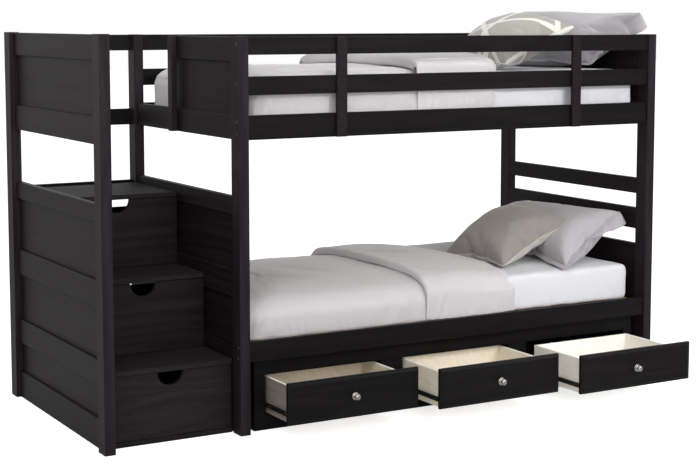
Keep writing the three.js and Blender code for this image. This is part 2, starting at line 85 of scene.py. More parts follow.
def add_math(tree, operation, *values):
    """The result of a math node; each value is a number or an output."""
    return add_node(tree, "Math", dict(enumerate(values)), operation=operation).outputs[0]


def split_up(tree, place):
    """A place's X, Y and Z outputs."""
    return add_node(tree, "SeparateXYZ", {0: place}).outputs


def stretched(tree, place, scale):
    """The place scaled by a different amount along each axis."""
    return add_node(tree, "VectorMath", {0: place, 1: scale}, operation="MULTIPLY").outputs[0]


def add_noise(tree, place, scale=1.0, detail=3.0, distortion=0.0):
    """A noise texture's value from 0 to 1."""
    inputs = {"Vector": place, "Scale": scale, "Detail": detail, "Distortion": distortion}
    return add_node(tree, "TexNoise", inputs).outputs["Fac"]


def ramp(tree, value, low, high, to_low=0.0, to_high=1.0):
    """A value remapped smoothly from one span to another."""
    inputs = {"Value": value, "From Min": low, "From Max": high, "To Min": to_low, "To Max": to_high}
    return add_node(tree, "MapRange", inputs, interpolation_type="SMOOTHSTEP").outputs["Result"]


def mixed(tree, share, a, b):
    """A colour between a and b, each an RGB triple or an output."""
    a, b = (c if isinstance(c, bpy.types.NodeSocket) else (*c, 1) for c in (a, b))
    node = add_node(tree, "Mix", {"Factor": share}, data_type="RGBA")
    colour_a, colour_b, colour_out = 6, 7, 2  # the node's sockets for colours
    set_inputs(tree, node, {colour_a: a, colour_b: b})
    return node.outputs[colour_out]


def new_group(name, inputs, outputs):
    """A shader node group with named sockets: the tree, its inputs and its output node."""
    tree = bpy.data.node_groups.new(name, "ShaderNodeTree")
    for socket, kind, value in inputs:
        made = tree.interface.new_socket(socket, in_out="INPUT", socket_type=f"NodeSocket{kind}")
        if value is not None:
            made.default_value = value
    for socket in outputs:
        tree.interface.new_socket(socket, in_out="OUTPUT", socket_type="NodeSocketFloat")
    return tree, tree.nodes.new("NodeGroupInput").outputs, tree.nodes.new("NodeGroupOutput")


# Wood grain along Z: broad figure, fine fibre and open pores
grain, given, made = new_group(
    "wood_grain",
    [("Place", "Vector", None), ("Figure", "Float", 0.6), ("Fibre", "Float", 0.4)],
    ("Tone", "Pores"),
)
place = split_up(grain, given["Place"])
drift = add_noise(grain, stretched(grain, given["Place"], (9, 9, 0.9)), 1, 2, 0.4)
across = add_math(grain, "ADD", place["X"], add_math(grain, "MULTIPLY", place["Y"], 0.8))
rings = add_math(grain, "MULTIPLY_ADD", drift, 26.0, add_math(grain, "MULTIPLY", across, 150.0))
rings = add_math(grain, "MULTIPLY_ADD", add_math(grain, "SINE", rings), 0.5, 0.5)
cathedral = add_noise(grain, stretched(grain, given["Place"], (14, 14, 1.2)), 1, 3)
figure = add_math(grain, "MULTIPLY", add_math(grain, "MULTIPLY", rings, cathedral), given["Figure"])
fibre = add_noise(grain, stretched(grain, given["Place"], (320, 320, 7)), 1, 3, 0.2)
tone = add_math(grain, "MULTIPLY_ADD", fibre, given["Fibre"], figure)
pores = add_noise(grain, stretched(grain, given["Place"], (900, 900, 26)), 1, 1)
tone = add_math(grain, "MINIMUM", tone, 1.0)
set_inputs(grain, made, {"Tone": tone, "Pores": ramp(grain, pores, 0.30, 0.46)})


def grain_place(tree, along):
    """The place on a piece, turned so that the grain runs along one axis, and a random number for the piece,
    which also shifts the place so that no two boards match."""
    place = split_up(tree, add_node(tree, "TexCoord").outputs["Object"])
    piece = add_node(tree, "ObjectInfo").outputs["Random"]
    order = {"x": "YZX", "y": "ZXY", "z": "XYZ"}[along]
    moved = {
        axis: add_math(tree, "MULTIPLY_ADD", piece, shift, place[source])
        for axis, source, shift in zip("XYZ", order, (1.7, 2.9, 7.3))
    }
    return add_node(tree, "CombineXYZ", moved).outputs[0], piece


def use_group(tree, group, **inputs):
    """Places a node group and gives its outputs."""
    return add_node(tree, "Group", inputs, node_tree=group).outputs


def new_material(name):
    """An empty material, its tree and its Principled shader."""
    material = bpy.data.materials.new(name)
    material.use_nodes = True
    return material, material.node_tree, material.node_tree.nodes["Principled BSDF"]


def add_bump(tree, shader, height, strength, distance):
    """Raises a material's surface by a height map."""
    bump = add_node(tree, "Bump", {"Strength": strength, "Distance": distance, "Height": height})
    set_inputs(tree, shader, {"Normal": bump.outputs["Normal"]})


def espresso(name, along, dark, light, dull=0.42):
    """Dark espresso stain under satin lacquer, with the grain along one axis."""
    material, tree, shader = new_material(name)
    where, piece = grain_place(tree, along)
    wood = use_group(tree, grain, Place=where, Figure=0.75, Fibre=0.45)
    board_tone = add_math(tree, "MULTIPLY_ADD", piece, 0.22, wood["Tone"])
    stain = mixed(tree, ramp(tree, board_tone, 0.05, 1.1), dark, light)
    open_pore = [channel * 0.75 for channel in dark]
    set_inputs(tree, shader, {
        "Base Color": mixed(tree, wood["Pores"], open_pore, stain),
        "Roughness": ramp(tree, wood["Tone"], 0, 1, dull, dull + 0.10),
        "Specular IOR Level": 0.09,
    })
    add_bump(tree, shader, wood["Pores"], strength=0.22, distance=0.0003)
    return material


# One espresso stain in five copies whose tones follow how light falls on each part: the posts' copy is
# lighter as a painted sheen, the rails', chest's and drawer fronts' copy is darker as painted shade, and the
# step fronts' and treads' copies are lighter as painted light where the stair well shades them.
ESPRESSO = {
    "post": espresso("espresso_post_painted_sheen", "z", (0.0112, 0.0082, 0.0102), (0.0254, 0.0196, 0.0234)),
    "end": espresso("espresso_end", "y", (0.0072, 0.0052, 0.0064), (0.0164, 0.0122, 0.0148)),
    "rail": espresso("espresso_rail", "x", (0.0034, 0.0027, 0.0030), (0.0078, 0.0063, 0.0068)),
    "step": espresso("espresso_step_painted_light", "x", (0.0088, 0.0072, 0.0077), (0.0200, 0.0165, 0.0175)),
    "tread": espresso("espresso_tread_painted_light", "x", (0.0102, 0.0082, 0.0088), (0.0225, 0.0184, 0.0196), dull=0.60),
}


def round_over(piece, width, sharper_than):
    """Rounds the edges where faces meet at more than an angle in degrees."""
    rounding = piece.modifiers.new("rounded_edges", "BEVEL")
    rounding.width = width
    rounding.segments = 2
    rounding.limit_method = "ANGLE"
    rounding.angle_limit = math.radians(sharper_than)
    return rounding


SANDED_EDGE = 0.0011


def finish_board(name, material):
    """Finishes a board and sands its edges round."""
    board = nodes[name]
    board.data.materials.clear()
    board.data.materials.append(material)
    round_over(board, SANDED_EDGE, sharper_than=35).harden_normals = True


for column in ("stair", "left", "right"):
    for row in ("front", "rear"):
        finish_board(f"post_{column}_{row}", ESPRESSO["post"])

# ---------------------------------------------------------------- framed ends
# Each end is a sheet with flat rails glued across its outer side. The sheet's veneer and the rails' grain
# both run across the bed, and the ends are bolted between the posts.
for end in ("stair_end_guard", "stair_end_panel", "left_end_guard", "left_end_panel", "right_end_guard"):
    finish_board(end, ESPRESSO["end"])
for board in ("top_rail", "mid_rail", "panel"):
    finish_board(f"headboard_{board}", ESPRESSO["end"])
finish_board("entry_stile", ESPRESSO["post"])

# ---------------------------------------------------------------- long rails
# Solid boards that run the length of the bunks between the posts, and short ones behind the stairs. The two
# upright stiles are screwed to the guard rails from behind.
LONG_RAILS = [
    f"{rail}_{row}"
    for row in ("front", "rear")
    for rail in ("guard_top_rail", "guard_mid_rail", "upper_side_rail", "lower_side_rail")
]
STAIR_RAILS = [f"stair_back_{level}_rail" for level in ("top", "mid", "low")]
for rail in LONG_RAILS + STAIR_RAILS:
    finish_board(rail, ESPRESSO["rail"])
for side in ("left", "right"):
    finish_board(f"guard_stile_{side}", ESPRESSO["end"])

# ---------------------------------------------------------------- bolts
# Domed steel socket bolts hold the long rails to the posts: one at each end of a guard rail and two at each
# end of a side rail, driven through the post from outside.


def metal(name, dark, light, fineness, detail, roughness, metallic):
    """A metal with a fine mottle or brushing, as fine along each axis as fineness says."""
    material, tree, shader = new_material(name)
    place = add_node(tree, "TexCoord").outputs["Object"]
    mottle = add_noise(tree, stretched(tree, place, fineness), 1, detail)
    set_inputs(tree, shader, {
        "Base Color": mixed(tree, mottle, dark, light),
        "Roughness": ramp(tree, mottle, 0.2, 0.8, *roughness),
        "Metallic": metallic,
    })
    return material


def add_mesh(name, points, faces, material, body, smooth=True):
    """A mesh piece that rides on a body."""
    mesh = bpy.data.meshes.new(name)
    mesh.from_pydata([tuple(p) for p in points], [], faces)
    mesh.materials.append(material)
    if smooth:
        mesh.polygons.foreach_set("use_smooth", [True] * len(mesh.polygons))
    mesh.update()
    piece = bpy.data.objects.new(name, mesh)
    bpy.context.scene.collection.objects.link(piece)
    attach(piece, body)
    return piece


def net(rows, columns, rows_close=True, columns_close=True):
    """The faces of a net of points, given row by row. A direction that closes joins its last to its first."""
    faces = []
    for i in range(rows if rows_close else rows - 1):
        for j in range(columns if columns_close else columns - 1):
            row, below = i * columns, (i + 1) % rows * columns
            along = (j + 1) % columns
            faces.append((row + j, row + along, below + along, below + j))
    return faces


def turned(profile, sides, centre, axis):
    """Points and faces of a shape turned round an axis from (distance along it, radius) pairs."""
    spin = Vector((0, 0, 1)).rotation_difference(Vector(axis))
    points = []
    for along, radius in profile:
        for angle in (2 * math.pi * i / sides for i in range(sides)):
            local = Vector((radius * math.cos(angle), radius * math.sin(angle), along))
            points.append(Vector(centre) + spin @ local)
    faces = net(len(profile), sides, rows_close=False)
    faces.append(tuple(reversed(range(sides))))
    faces.append(tuple((len(profile) - 1) * sides + i for i in range(sides)))
    return points, faces


BOLT_STEEL = metal(
    "blackened_steel", (0.055, 0.052, 0.050), (0.11, 0.105, 0.10),
    fineness=(700, 700, 700), detail=2, roughness=(0.3, 0.5), metallic=0.9,
)
BOLT_DOME = [
    (0, 0.0058), (0.0006, 0.0058), (0.0013, 0.0050), (0.0018, 0.0036), (0.0019, 0.0028), (0.0006, 0.0026),
]  # (distance from the post, radius), with a socket sunk in the middle
RAIL_MIDDLE = 0.011  # half a rail's thickness
SIDE_RAIL_HEIGHT = 0.076  # rails from this height on take two bolts


def add_bolt(name, place, facing):
    """A bolt's dome on a post's face."""
    dome = turned(BOLT_DOME, sides=24, centre=place, axis=(facing, 0, 0))
    add_mesh(name, *dome, BOLT_STEEL, "bed_frame")


for rail in LONG_RAILS:
    low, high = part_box(rail)
    row = rail.split("_")[-1]
    middle = low.y + RAIL_MIDDLE if row == "front" else high.y - RAIL_MIDDLE
    height = high.z - low.z
    places = [low.z + height * 0.60]
    if height >= SIDE_RAIL_HEIGHT:
        places = [low.z + height * 0.24, high.z - height * 0.26]
    for z in places:
        left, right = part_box(f"post_left_{row}")[0].x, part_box(f"post_right_{row}")[1].x
        for side, x, facing in (("left", left, -1), ("right", right, 1)):
            add_bolt(f"bolt_{rail}_{side}_{round(z * 1000)}", (x, middle, z), facing)
for rail in STAIR_RAILS:
    low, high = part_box(rail)
    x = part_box("post_stair_rear")[0].x
    add_bolt(f"bolt_{rail.removesuffix('_rail')}", (x, (low.y + high.y) / 2, (low.z + high.z) / 2), -1)

# ---------------------------------------------------------------- slatted decks
# Fourteen sanded pine slats across each bunk, stapled to two webbing straps and laid on the rails' ledgers.
# They are left without stain or lacquer.


def slat_pine():
    """Bare pine with a strong figure."""
    material, tree, shader = new_material("sanded_pine")
    wood = use_group(tree, grain, Place=grain_place(tree, "y")[0], Figure=1.0, Fibre=0.35)
    colour = mixed(tree, wood["Tone"], (0.66, 0.47, 0.27), (0.42, 0.25, 0.11))
    set_inputs(tree, shader, {"Base Color": colour, "Roughness": 0.62})
    add_bump(tree, shader, wood["Pores"], strength=0.3, distance=0.0003)
    return material


SLAT_PINE = slat_pine()
for level in ("upper", "lower"):
    deck = nodes[f"{level}_slats"]
    deck.data.materials.clear()
    deck.data.materials.append(SLAT_PINE)

# ---------------------------------------------------------------- stairs
# Three closed steps: a bottom board, three treads with eased nosings and a stepped board against the left
# bunk end. The drawer fronts are cut away at the top for a hand.
finish_board("stair_bottom_board", ESPRESSO["step"])
for step in (1, 2, 3):
    finish_board(f"tread_{step}", ESPRESSO["tread"])
    finish_board(f"stair_drawer_{step}", ESPRESSO["step"])
finish_board("stair_side_board", ESPRESSO["end"])

# ---------------------------------------------------------------- chest under the lower bunk
# A low carcass with a face frame of three bays, screwed together and stained like the bed.
finish_board("chest_face_frame", ESPRESSO["rail"])
for board in ("chest_end_left", "chest_end_right", "chest_divider_1", "chest_divider_2"):
    finish_board(board, ESPRESSO["end"])
for bay in (1, 2, 3):
    finish_board(f"drawer_front_{bay}", ESPRESSO["rail"])

# ---------------------------------------------------------------- under-bed drawers
# Each drawer is a stained front screwed to a box of 12 mm clear-lacquered birch plywood with a 6 mm bottom
# let into it. Black ball-bearing slides run along both sides, and a nickel knob is bolted through the front.
PLY = 0.012
BOTTOM = 0.006
GROOVE = 0.004  # how deep the bottom is let into the sides, and how far above their lower edges
BOX_DEPTH = 0.350  # the slides' inner members run on behind the box
SLIDE_GAP = 0.0132  # between box and bay, taken up by the slides
SLIDE_LOW, SLIDE_HIGH = 0.087, 0.105
SAWN_EDGE = 0.0012  # radius of the plywood's rounded edges
BOX_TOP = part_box("drawer_box_1")[1].z


def birch_plywood(name, pale, dark):
    """Lacquered birch plywood, paler in a narrow band along the box's top edge."""
    material, tree, shader = new_material(name)
    wood = use_group(tree, grain, Place=grain_place(tree, "y")[0], Figure=0.8, Fibre=0.4)
    height = split_up(tree, add_node(tree, "TexCoord").outputs["Object"])["Z"]
    edge = ramp(tree, height, BOX_TOP - 0.0016, BOX_TOP - 0.0008)
    set_inputs(tree, shader, {
        "Base Color": mixed(tree, edge, mixed(tree, wood["Tone"], pale, dark), (0.88, 0.86, 0.80)),
        "Roughness": ramp(tree, wood["Tone"], 0, 1, 0.40, 0.52),
        "Specular IOR Level": 0.35,
    })
    add_bump(tree, shader, wood["Pores"], strength=0.15, distance=0.0002)
    return material


def face_outward(piece):
    """Turns every face of a closed piece outward."""
    mesh = bmesh.new()
    mesh.from_mesh(piece.data)
    bmesh.ops.recalc_face_normals(mesh, faces=mesh.faces)
    mesh.to_mesh(piece.data)
    mesh.free()


def swept(name, outline, axis, start, end, material, body):
    """A board or rolled section: an outline carried along axis 0 (x) or 1 (y). The outline's points hold the
    two other places."""
    count = len(outline)
    points = [np.insert(corner, axis, along) for along in (start, end) for corner in outline]
    faces = net(2, count, rows_close=False) + [tuple(range(count)), tuple(range(count, 2 * count))]
    piece = add_mesh(name, points, faces, material, body, smooth=False)
    face_outward(piece)
    return piece


def sawn_board(name, low, high, material, body):
    """A rectangular board with lightly rounded edges."""
    outline = [(low[1], low[2]), (high[1], low[2]), (high[1], high[2]), (low[1], high[2])]
    board = swept(name, outline, 0, low[0], high[0], material, body)
    round_over(board, SAWN_EDGE, sharper_than=30)
    return board


# One lacquered birch in three copies, darker to paler as the drawers stand further out of the bed's shade:
# painted shade on drawer 1's box, painted light on drawer 3's.
BIRCH = {
    1: birch_plywood("birch_plywood_painted_shade", (0.76, 0.68, 0.55), (0.66, 0.57, 0.44)),
    2: birch_plywood("birch_plywood", (0.86, 0.80, 0.68), (0.78, 0.70, 0.57)),
    3: birch_plywood("birch_plywood_painted_light", (0.90, 0.87, 0.81), (0.86, 0.82, 0.74)),
}
# A darker copy of the birch: painted shade on drawer 1's left side, where the stair block shades it.
BIRCH_PAINTED_SHADE = birch_plywood("birch_plywood_painted_deep_shade", (0.27, 0.235, 0.21), (0.20, 0.17, 0.15))
SLIDE_STEEL = metal(
    "black_slide_steel", (0.012, 0.012, 0.013), (0.035, 0.035, 0.037),
    fineness=(900, 20, 900), detail=2, roughness=(0.28, 0.42), metallic=0.6,
)
NICKEL = metal(
    "satin_nickel", (0.20, 0.19, 0.185), (0.36, 0.35, 0.34),
    fineness=(900, 900, 900), detail=3, roughness=(0.16, 0.28), metallic=1.0,
)
SCREW_HEAD = [(0, 0.0030), (0.0008, 0.0030), (0.0015, 0.0022), (0.0017, 0.0009)]
SCREWS = (0.035, 0.075, 0.200, 0.330, 0.445)  # distances behind the front
KNOB = [
    (0.0, 0.0148), (0.0010, 0.0154), (0.0022, 0.0154), (0.0034, 0.0148), (0.0041, 0.0134),
    (0.0046, 0.0100), (0.0056, 0.0080), (0.0075, 0.0066), (0.0110, 0.0062), (0.0138, 0.0068),
    (0.0152, 0.0092), (0.0163, 0.0112), (0.0178, 0.0122), (0.0195, 0.0124), (0.0215, 0.0120),
    (0.0235, 0.0106), (0.0252, 0.0084), (0.0264, 0.0054), (0.0269, 0.0018),
]  # (distance from the front, radius): foot disc, neck and domed head


def drawer_box(bay, low, high, foot):
    """The five plywood boards of a drawer's box."""
    body, rear = f"under_bed_drawer_{bay}", low.y + BOX_DEPTH
    x0, x1 = low.x + SLIDE_GAP, high.x - SLIDE_GAP
    inside_x0, inside_x1 = x0 + PLY, x1 - PLY
    # The sides reach lower than the front, apart from their front ends, which it hides.
    outline = [(low.y, high.z), (low.y, foot), (low.y + 0.045, low.z), (rear, low.z), (rear, high.z)]
    boards = []
    for part, x in (("left_side", x0), ("right_side", inside_x1)):
        # drawer 1's left side takes the painted shade copy of the birch
        wood = BIRCH_PAINTED_SHADE if bay == 1 and part == "left_side" else BIRCH[bay]
        boards.append(swept(f"drawer_{bay}_{part}", outline, 0, x, x + PLY, wood, body))
        round_over(boards[-1], SAWN_EDGE, sharper_than=30)
    between = {
        "back": ((inside_x0, rear - PLY, foot), (inside_x1, rear, high.z)),
        "inner_front": ((inside_x0, low.y, foot), (inside_x1, low.y + PLY, high.z)),
        "bottom": (
            (inside_x0 - GROOVE, low.y + PLY - GROOVE, foot + GROOVE),
            (inside_x1 + GROOVE, rear - PLY + GROOVE, foot + GROOVE + BOTTOM),
        ),
    }
    for part, ends in between.items():
        boards.append(sawn_board(f"drawer_{bay}_{part}", *ends, BIRCH[bay], body))
    for board in boards:
        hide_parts(f"drawer_box_{bay}")


def c_section(wall, lip, web, low, high, lip_edge, web_edge, below=0.0):
    """The (x, z) outline of a slide member: how far its lips and its web stand off the wall, and how far
    their inner edges lie from its lower and upper edge."""
    tip, back = wall + lip, wall + web
    return [
        (wall, low - below), (tip, low - below), (tip, low + lip_edge), (back, low + web_edge),
        (back, high - web_edge), (tip, high - lip_edge), (tip, high), (wall, high),
    ]


def drawer_slide(bay, side, edge, out, low, high):
    """A slide's member on the box with its screws, and its fixed member on the bay's wall."""
    body = f"under_bed_drawer_{bay}"
    rail = c_section(
        edge, out * 0.0055, out * 0.0020, SLIDE_LOW, SLIDE_HIGH, lip_edge=0.0035, web_edge=0.0050
    )
    slide = swept(f"drawer_{bay}_slide_{side}", rail, 1, low.y + 0.002, high.y - 0.002, SLIDE_STEEL, body)
    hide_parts(f"drawer_box_{bay}")
    for number, along in enumerate(SCREWS):
        place = (edge + out * 0.0019, low.y + along, (SLIDE_LOW + SLIDE_HIGH) / 2)
        head = turned(SCREW_HEAD, sides=16, centre=place, axis=(out, 0, 0))
        add_mesh(f"drawer_{bay}_screw_{side}_{number + 1}", *head, NICKEL, body)
    wall = edge + out * (SLIDE_GAP + 0.0001)
    channel = c_section(
        wall, out * -0.0065, out * -0.0014, SLIDE_LOW, SLIDE_HIGH,
        lip_edge=0.0020, web_edge=0.0020, below=0.0002,
    )
    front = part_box("chest_face_frame")[0].y
    swept(f"bay_{bay}_runner_{side}", channel, 1, front + 0.003, front + 0.480, SLIDE_STEEL, "bed_frame")


def bay_painted_shade(bay, x0, x1, foot):
    """Painted shade: a stained batten, a dark board over the floor and a back that close a bay behind its
    drawer, where the floor under the bed would lie in shadow.
    """
    frame_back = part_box("chest_face_frame")[1].y
    bay_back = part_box("chest_end_left")[1].y - 0.006
    for part, (y0, y1, z0, z1) in {
        "stop_batten": (frame_back + 0.0002, frame_back + 0.0122, 0.030, foot - 0.012),
        "dust_board": (frame_back + 0.0124, bay_back - 0.0082, 0.036, 0.042),
        "back": (bay_back - 0.008, bay_back, 0.036, 0.290),
    }.items():
        sawn_board(f"bay_{bay}_{part}", (x0, y0, z0), (x1, y1, z1), ESPRESSO["rail"], "bed_frame")


for bay in (1, 2, 3):
    low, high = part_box(f"drawer_box_{bay}")
    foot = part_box(f"drawer_front_{bay}")[0].z + 0.001
    drawer_box(bay, low, high, foot)
    drawer_slide(bay, "left", low.x + SLIDE_GAP, -1, low, high)
    drawer_slide(bay, "right", high.x - SLIDE_GAP, 1, low, high)
    # painted shade in the bay behind the drawer
    bay_painted_shade(bay, low.x + SLIDE_GAP, high.x - SLIDE_GAP, foot)
    knob_low, knob_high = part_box(f"drawer_knob_{bay}")
    centre = ((knob_low.x + knob_high.x) / 2, knob_high.y, (knob_low.z + knob_high.z) / 2)
    turning = turned(KNOB, sides=48, centre=centre, axis=(0, -1, 0))
    knob = add_mesh(f"knob_{bay}", *turning, NICKEL, f"under_bed_drawer_{bay}")
    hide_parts(f"drawer_knob_{bay}")

# ---------------------------------------------------------------- mattresses
# A foam twin mattress in each bunk under a white cotton fitted sheet. The elastic pulls the sheet round the
# corners in small gathers and leaves the top smooth.

# A plain weave of warp and weft, with thicker threads here and there
cloth, given, made = new_group(
    "plain_weave",
    [("Place", "Vector", None), ("Threads", "Float", 1200.0), ("Slub", "Float", 0.3)],
    ("Height", "Shade"),
)
place = split_up(cloth, given["Place"])
turns = add_math(cloth, "MULTIPLY", given["Threads"], math.pi)
warp = add_math(cloth, "SINE", add_math(cloth, "MULTIPLY", place["X"], turns))
weft = add_math(cloth, "SINE", add_math(cloth, "MULTIPLY", place["Y"], turns))
over = add_math(cloth, "MULTIPLY_ADD", add_math(cloth, "MULTIPLY", warp, weft), 0.5, 0.5)
thick_warp = add_noise(cloth, stretched(cloth, given["Place"], (700, 25, 1)), 1, 2)
thick_weft = add_noise(cloth, stretched(cloth, given["Place"], (25, 700, 1)), 1, 2)
slub = add_math(cloth, "MULTIPLY", add_math(cloth, "ADD", thick_warp, thick_weft), 0.5)
uneven = add_math(cloth, "MULTIPLY", add_math(cloth, "SUBTRACT", slub, 0.5), given["Slub"])
shade = add_math(cloth, "MULTIPLY_ADD", add_math(cloth, "SUBTRACT", over, 0.5), 0.25, 0.5)
set_inputs(cloth, made, {
    "Height": add_math(cloth, "MULTIPLY_ADD", uneven, 3.0, over),
    "Shade": add_math(cloth, "MULTIPLY_ADD", uneven, 1.6, shade),
})

# Soft creases that run across the cloth, with sharper ridges in patches
crumple, given, made = new_group(
    "cloth_creases", [("Place", "Vector", None), ("Size", "Float", 9.0)], ("Height",)
)
long_way = stretched(crumple, given["Place"], (1.0, 0.4, 1.0))
sized = add_node(crumple, "VectorMath", {0: long_way, "Scale": given["Size"]}, operation="SCALE").outputs[0]
wrinkle = add_noise(crumple, sized, 1.0, 1.0, 0.5)
ridge = add_math(crumple, "ABSOLUTE", add_math(crumple, "MULTIPLY_ADD", wrinkle, 2.0, -1.0))
ridge = add_math(crumple, "POWER", add_math(crumple, "SUBTRACT", 1.0, ridge), 14.0)
patch = ramp(crumple, add_noise(crumple, sized, 0.37, 1.0), 0.42, 0.62)
fine = add_noise(crumple, sized, 3.3, 2.0, 0.8)
ridge = add_math(crumple, "MULTIPLY", ridge, patch)
set_inputs(crumple, made, {"Height": add_math(crumple, "MULTIPLY_ADD", ridge, 0.45, fine)})


def cotton(name, dark, light, threads, slub, roughness=0.85, fuzz=0.15, creasing=0.0016, printed=None):
    """A woven cloth laid out by its cloth map, in metres. It has so many threads to the metre and creases so
    many metres deep. A printed cloth's function gives the colour and height from those of the plain one."""
    material, tree, shader = new_material(name)
    laid = add_node(tree, "UVMap", uv_map="cloth").outputs["UV"]
    weave = use_group(tree, cloth, Place=laid, Threads=threads, Slub=slub)
    faded = add_noise(tree, stretched(tree, laid, (3.1, 2.3, 1)), 1, 3)
    tone = add_math(tree, "MULTIPLY_ADD", faded, 0.35, add_math(tree, "MULTIPLY", weave["Shade"], 0.65))
    colour = mixed(tree, tone, dark, light)
    creases = use_group(tree, crumple, Place=laid, Size=9.0)
    weave_share = 0.06 / threads / creasing  # the weave's height, finer for a finer thread
    height = add_math(tree, "MULTIPLY_ADD", weave["Height"], weave_share, creases["Height"])
    if printed:
        colour, height = printed(tree, laid, colour, height)
    set_inputs(tree, shader, {
        "Base Color": colour,
        "Roughness": roughness,
        "Specular IOR Level": 0.2,
        "Sheen Weight": fuzz,
        "Sheen Roughness": 0.5,
    })
    add_bump(tree, shader, height, strength=1.0, distance=creasing)
    return material


def box_skin(low, high, spacing, open_sides=()):
    """An even grid over a box's faces, leaving out the open (axis, side) ones."""
    counts = [max(2, round((high[k] - low[k]) / spacing)) for k in range(3)]
    lines = [np.linspace(low[k], high[k], counts[k] + 1) for k in range(3)]
    index, points, faces = {}, [], []
    for axis in range(3):
        a, b = (axis + 1) % 3, (axis + 2) % 3
        for side in (0, 1):
            if (axis, side) in open_sides:
                continue
            for p in range(counts[a]):
                for q in range(counts[b]):
                    face = []
                    for dp, dq in ((0, 0), (1, 0), (1, 1), (0, 1)):
                        key = [0, 0, 0]
                        key[axis], key[a], key[b] = side * counts[axis], p + dp, q + dq
                        key = tuple(key)
                        if key not in index:
                            index[key] = len(points)
                            points.append([lines[k][key[k]] for k in range(3)])
                        face.append(index[key])
                    faces.append(tuple(face if side else reversed(face)))
    return np.array(points), faces


FAR = 9  # beyond every edge, for a side that stays open


def rounded_off(points, low, high, radius):
    """Pulls a box's surface in to rounded edges, and says which way each point faces."""
    core = np.clip(points, np.array(low) + radius, np.array(high) - radius)
    away = points - core
    away /= np.maximum(np.linalg.norm(away, axis=1, keepdims=True), 1e-9)
    return core + away * radius, away


def soft_noise(points, size, seed):
    """Smooth noise from -1 to 1 at each point."""
    shift = Vector((seed * 3.7, seed * 1.9, seed * 5.3))
    return np.array([noise.noise(Vector(p) / size + shift) for p in points])


def creased(points, origin, creases):
    """How far each point sinks into the creases, each (start, end, width, depth) as seen from the origin."""
    sunk = np.zeros(len(points))
    for start, end, width, depth in creases:
        start, end = origin + start, origin + end
        line = end - start
        share = np.clip((points - start) @ line / (line @ line), 0, 1)
        distance = np.linalg.norm(points - (start + share[:, None] * line), axis=1)
        fade = np.sin(np.pi * np.clip(share * 0.85 + 0.12, 0, 1))
        shoulder = 0.45 * np.exp(-(((distance - 1.9 * width) / width) ** 2))
        sunk += depth * fade * (np.exp(-((distance / width) ** 2)) - shoulder)
    return sunk


def smooth_step(share):
    """A share held to 0 to 1, eased at both ends."""
    share = np.clip(share, 0, 1)
    return share * share * (3 - 2 * share)


def soft_piece(name, points, faces, flat, material):
    """A cloth piece with its map of where each point lies on the flat cloth, in metres."""
    piece = add_mesh(name, points, faces, material, "bed_frame")
    layer = piece.data.uv_layers.new(name="cloth")
    corners = np.zeros(len(piece.data.loops), dtype=np.int32)
    piece.data.loops.foreach_get("vertex_index", corners)
    layer.data.foreach_set("uv", np.asarray(flat)[corners].astype(np.float32).ravel())
    return piece


def smooth_cloth(piece):
    """Smooths a cloth piece's faces once."""
    smoothing = piece.modifiers.new("smooth_cloth", "SUBSURF")
    smoothing.levels = smoothing.render_levels = 1


SHEET_COTTON = cotton("white_sheet_cotton", (0.60, 0.60, 0.630), (0.67, 0.67, 0.705), threads=1100, slub=0.25)
SHORTER = {"upper": 0.030, "lower": 0.038}  # how far the foam ends before its node at the head
PRESSED_FOOT = {"upper": 0.028, "lower": 0.004}  # how far the tucked quilt presses its foot in
GATHERS = [
    ((-0.012, 0.006, -0.012), (-0.085, 0.004, -0.150), 0.009, 0.0045),
    ((-0.004, 0.020, -0.020), (0.0, 0.085, -0.150), 0.009, 0.0045),
    ((-0.020, 0.030, 0.0), (-0.190, 0.120, 0.0), 0.016, 0.0030),
    ((-0.130, 0.004, -0.020), (-0.250, 0.0, -0.150), 0.014, 0.0030),
    ((-0.330, 0.004, -0.010), (-0.380, 0.0, -0.140), 0.016, 0.0025),
    ((-0.500, 0.0, -0.020), (-0.560, 0.0, -0.150), 0.018, 0.0020),
    ((-0.060, 0.0, -0.090), (-0.075, 0.0, -0.165), 0.008, 0.0060),
    ((-0.110, 0.0, -0.105), (-0.135, 0.0, -0.165), 0.008, 0.0050),
    ((-0.210, 0.0, -0.110), (-0.222, 0.0, -0.165), 0.009, 0.0050),
    ((-0.300, 0.0, -0.100), (-0.320, 0.0, -0.165), 0.010, 0.0045),
    ((-0.430, 0.0, -0.110), (-0.440, 0.0, -0.165), 0.009, 0.0045),
]  # the sheet's pulls from the top front corner at the head
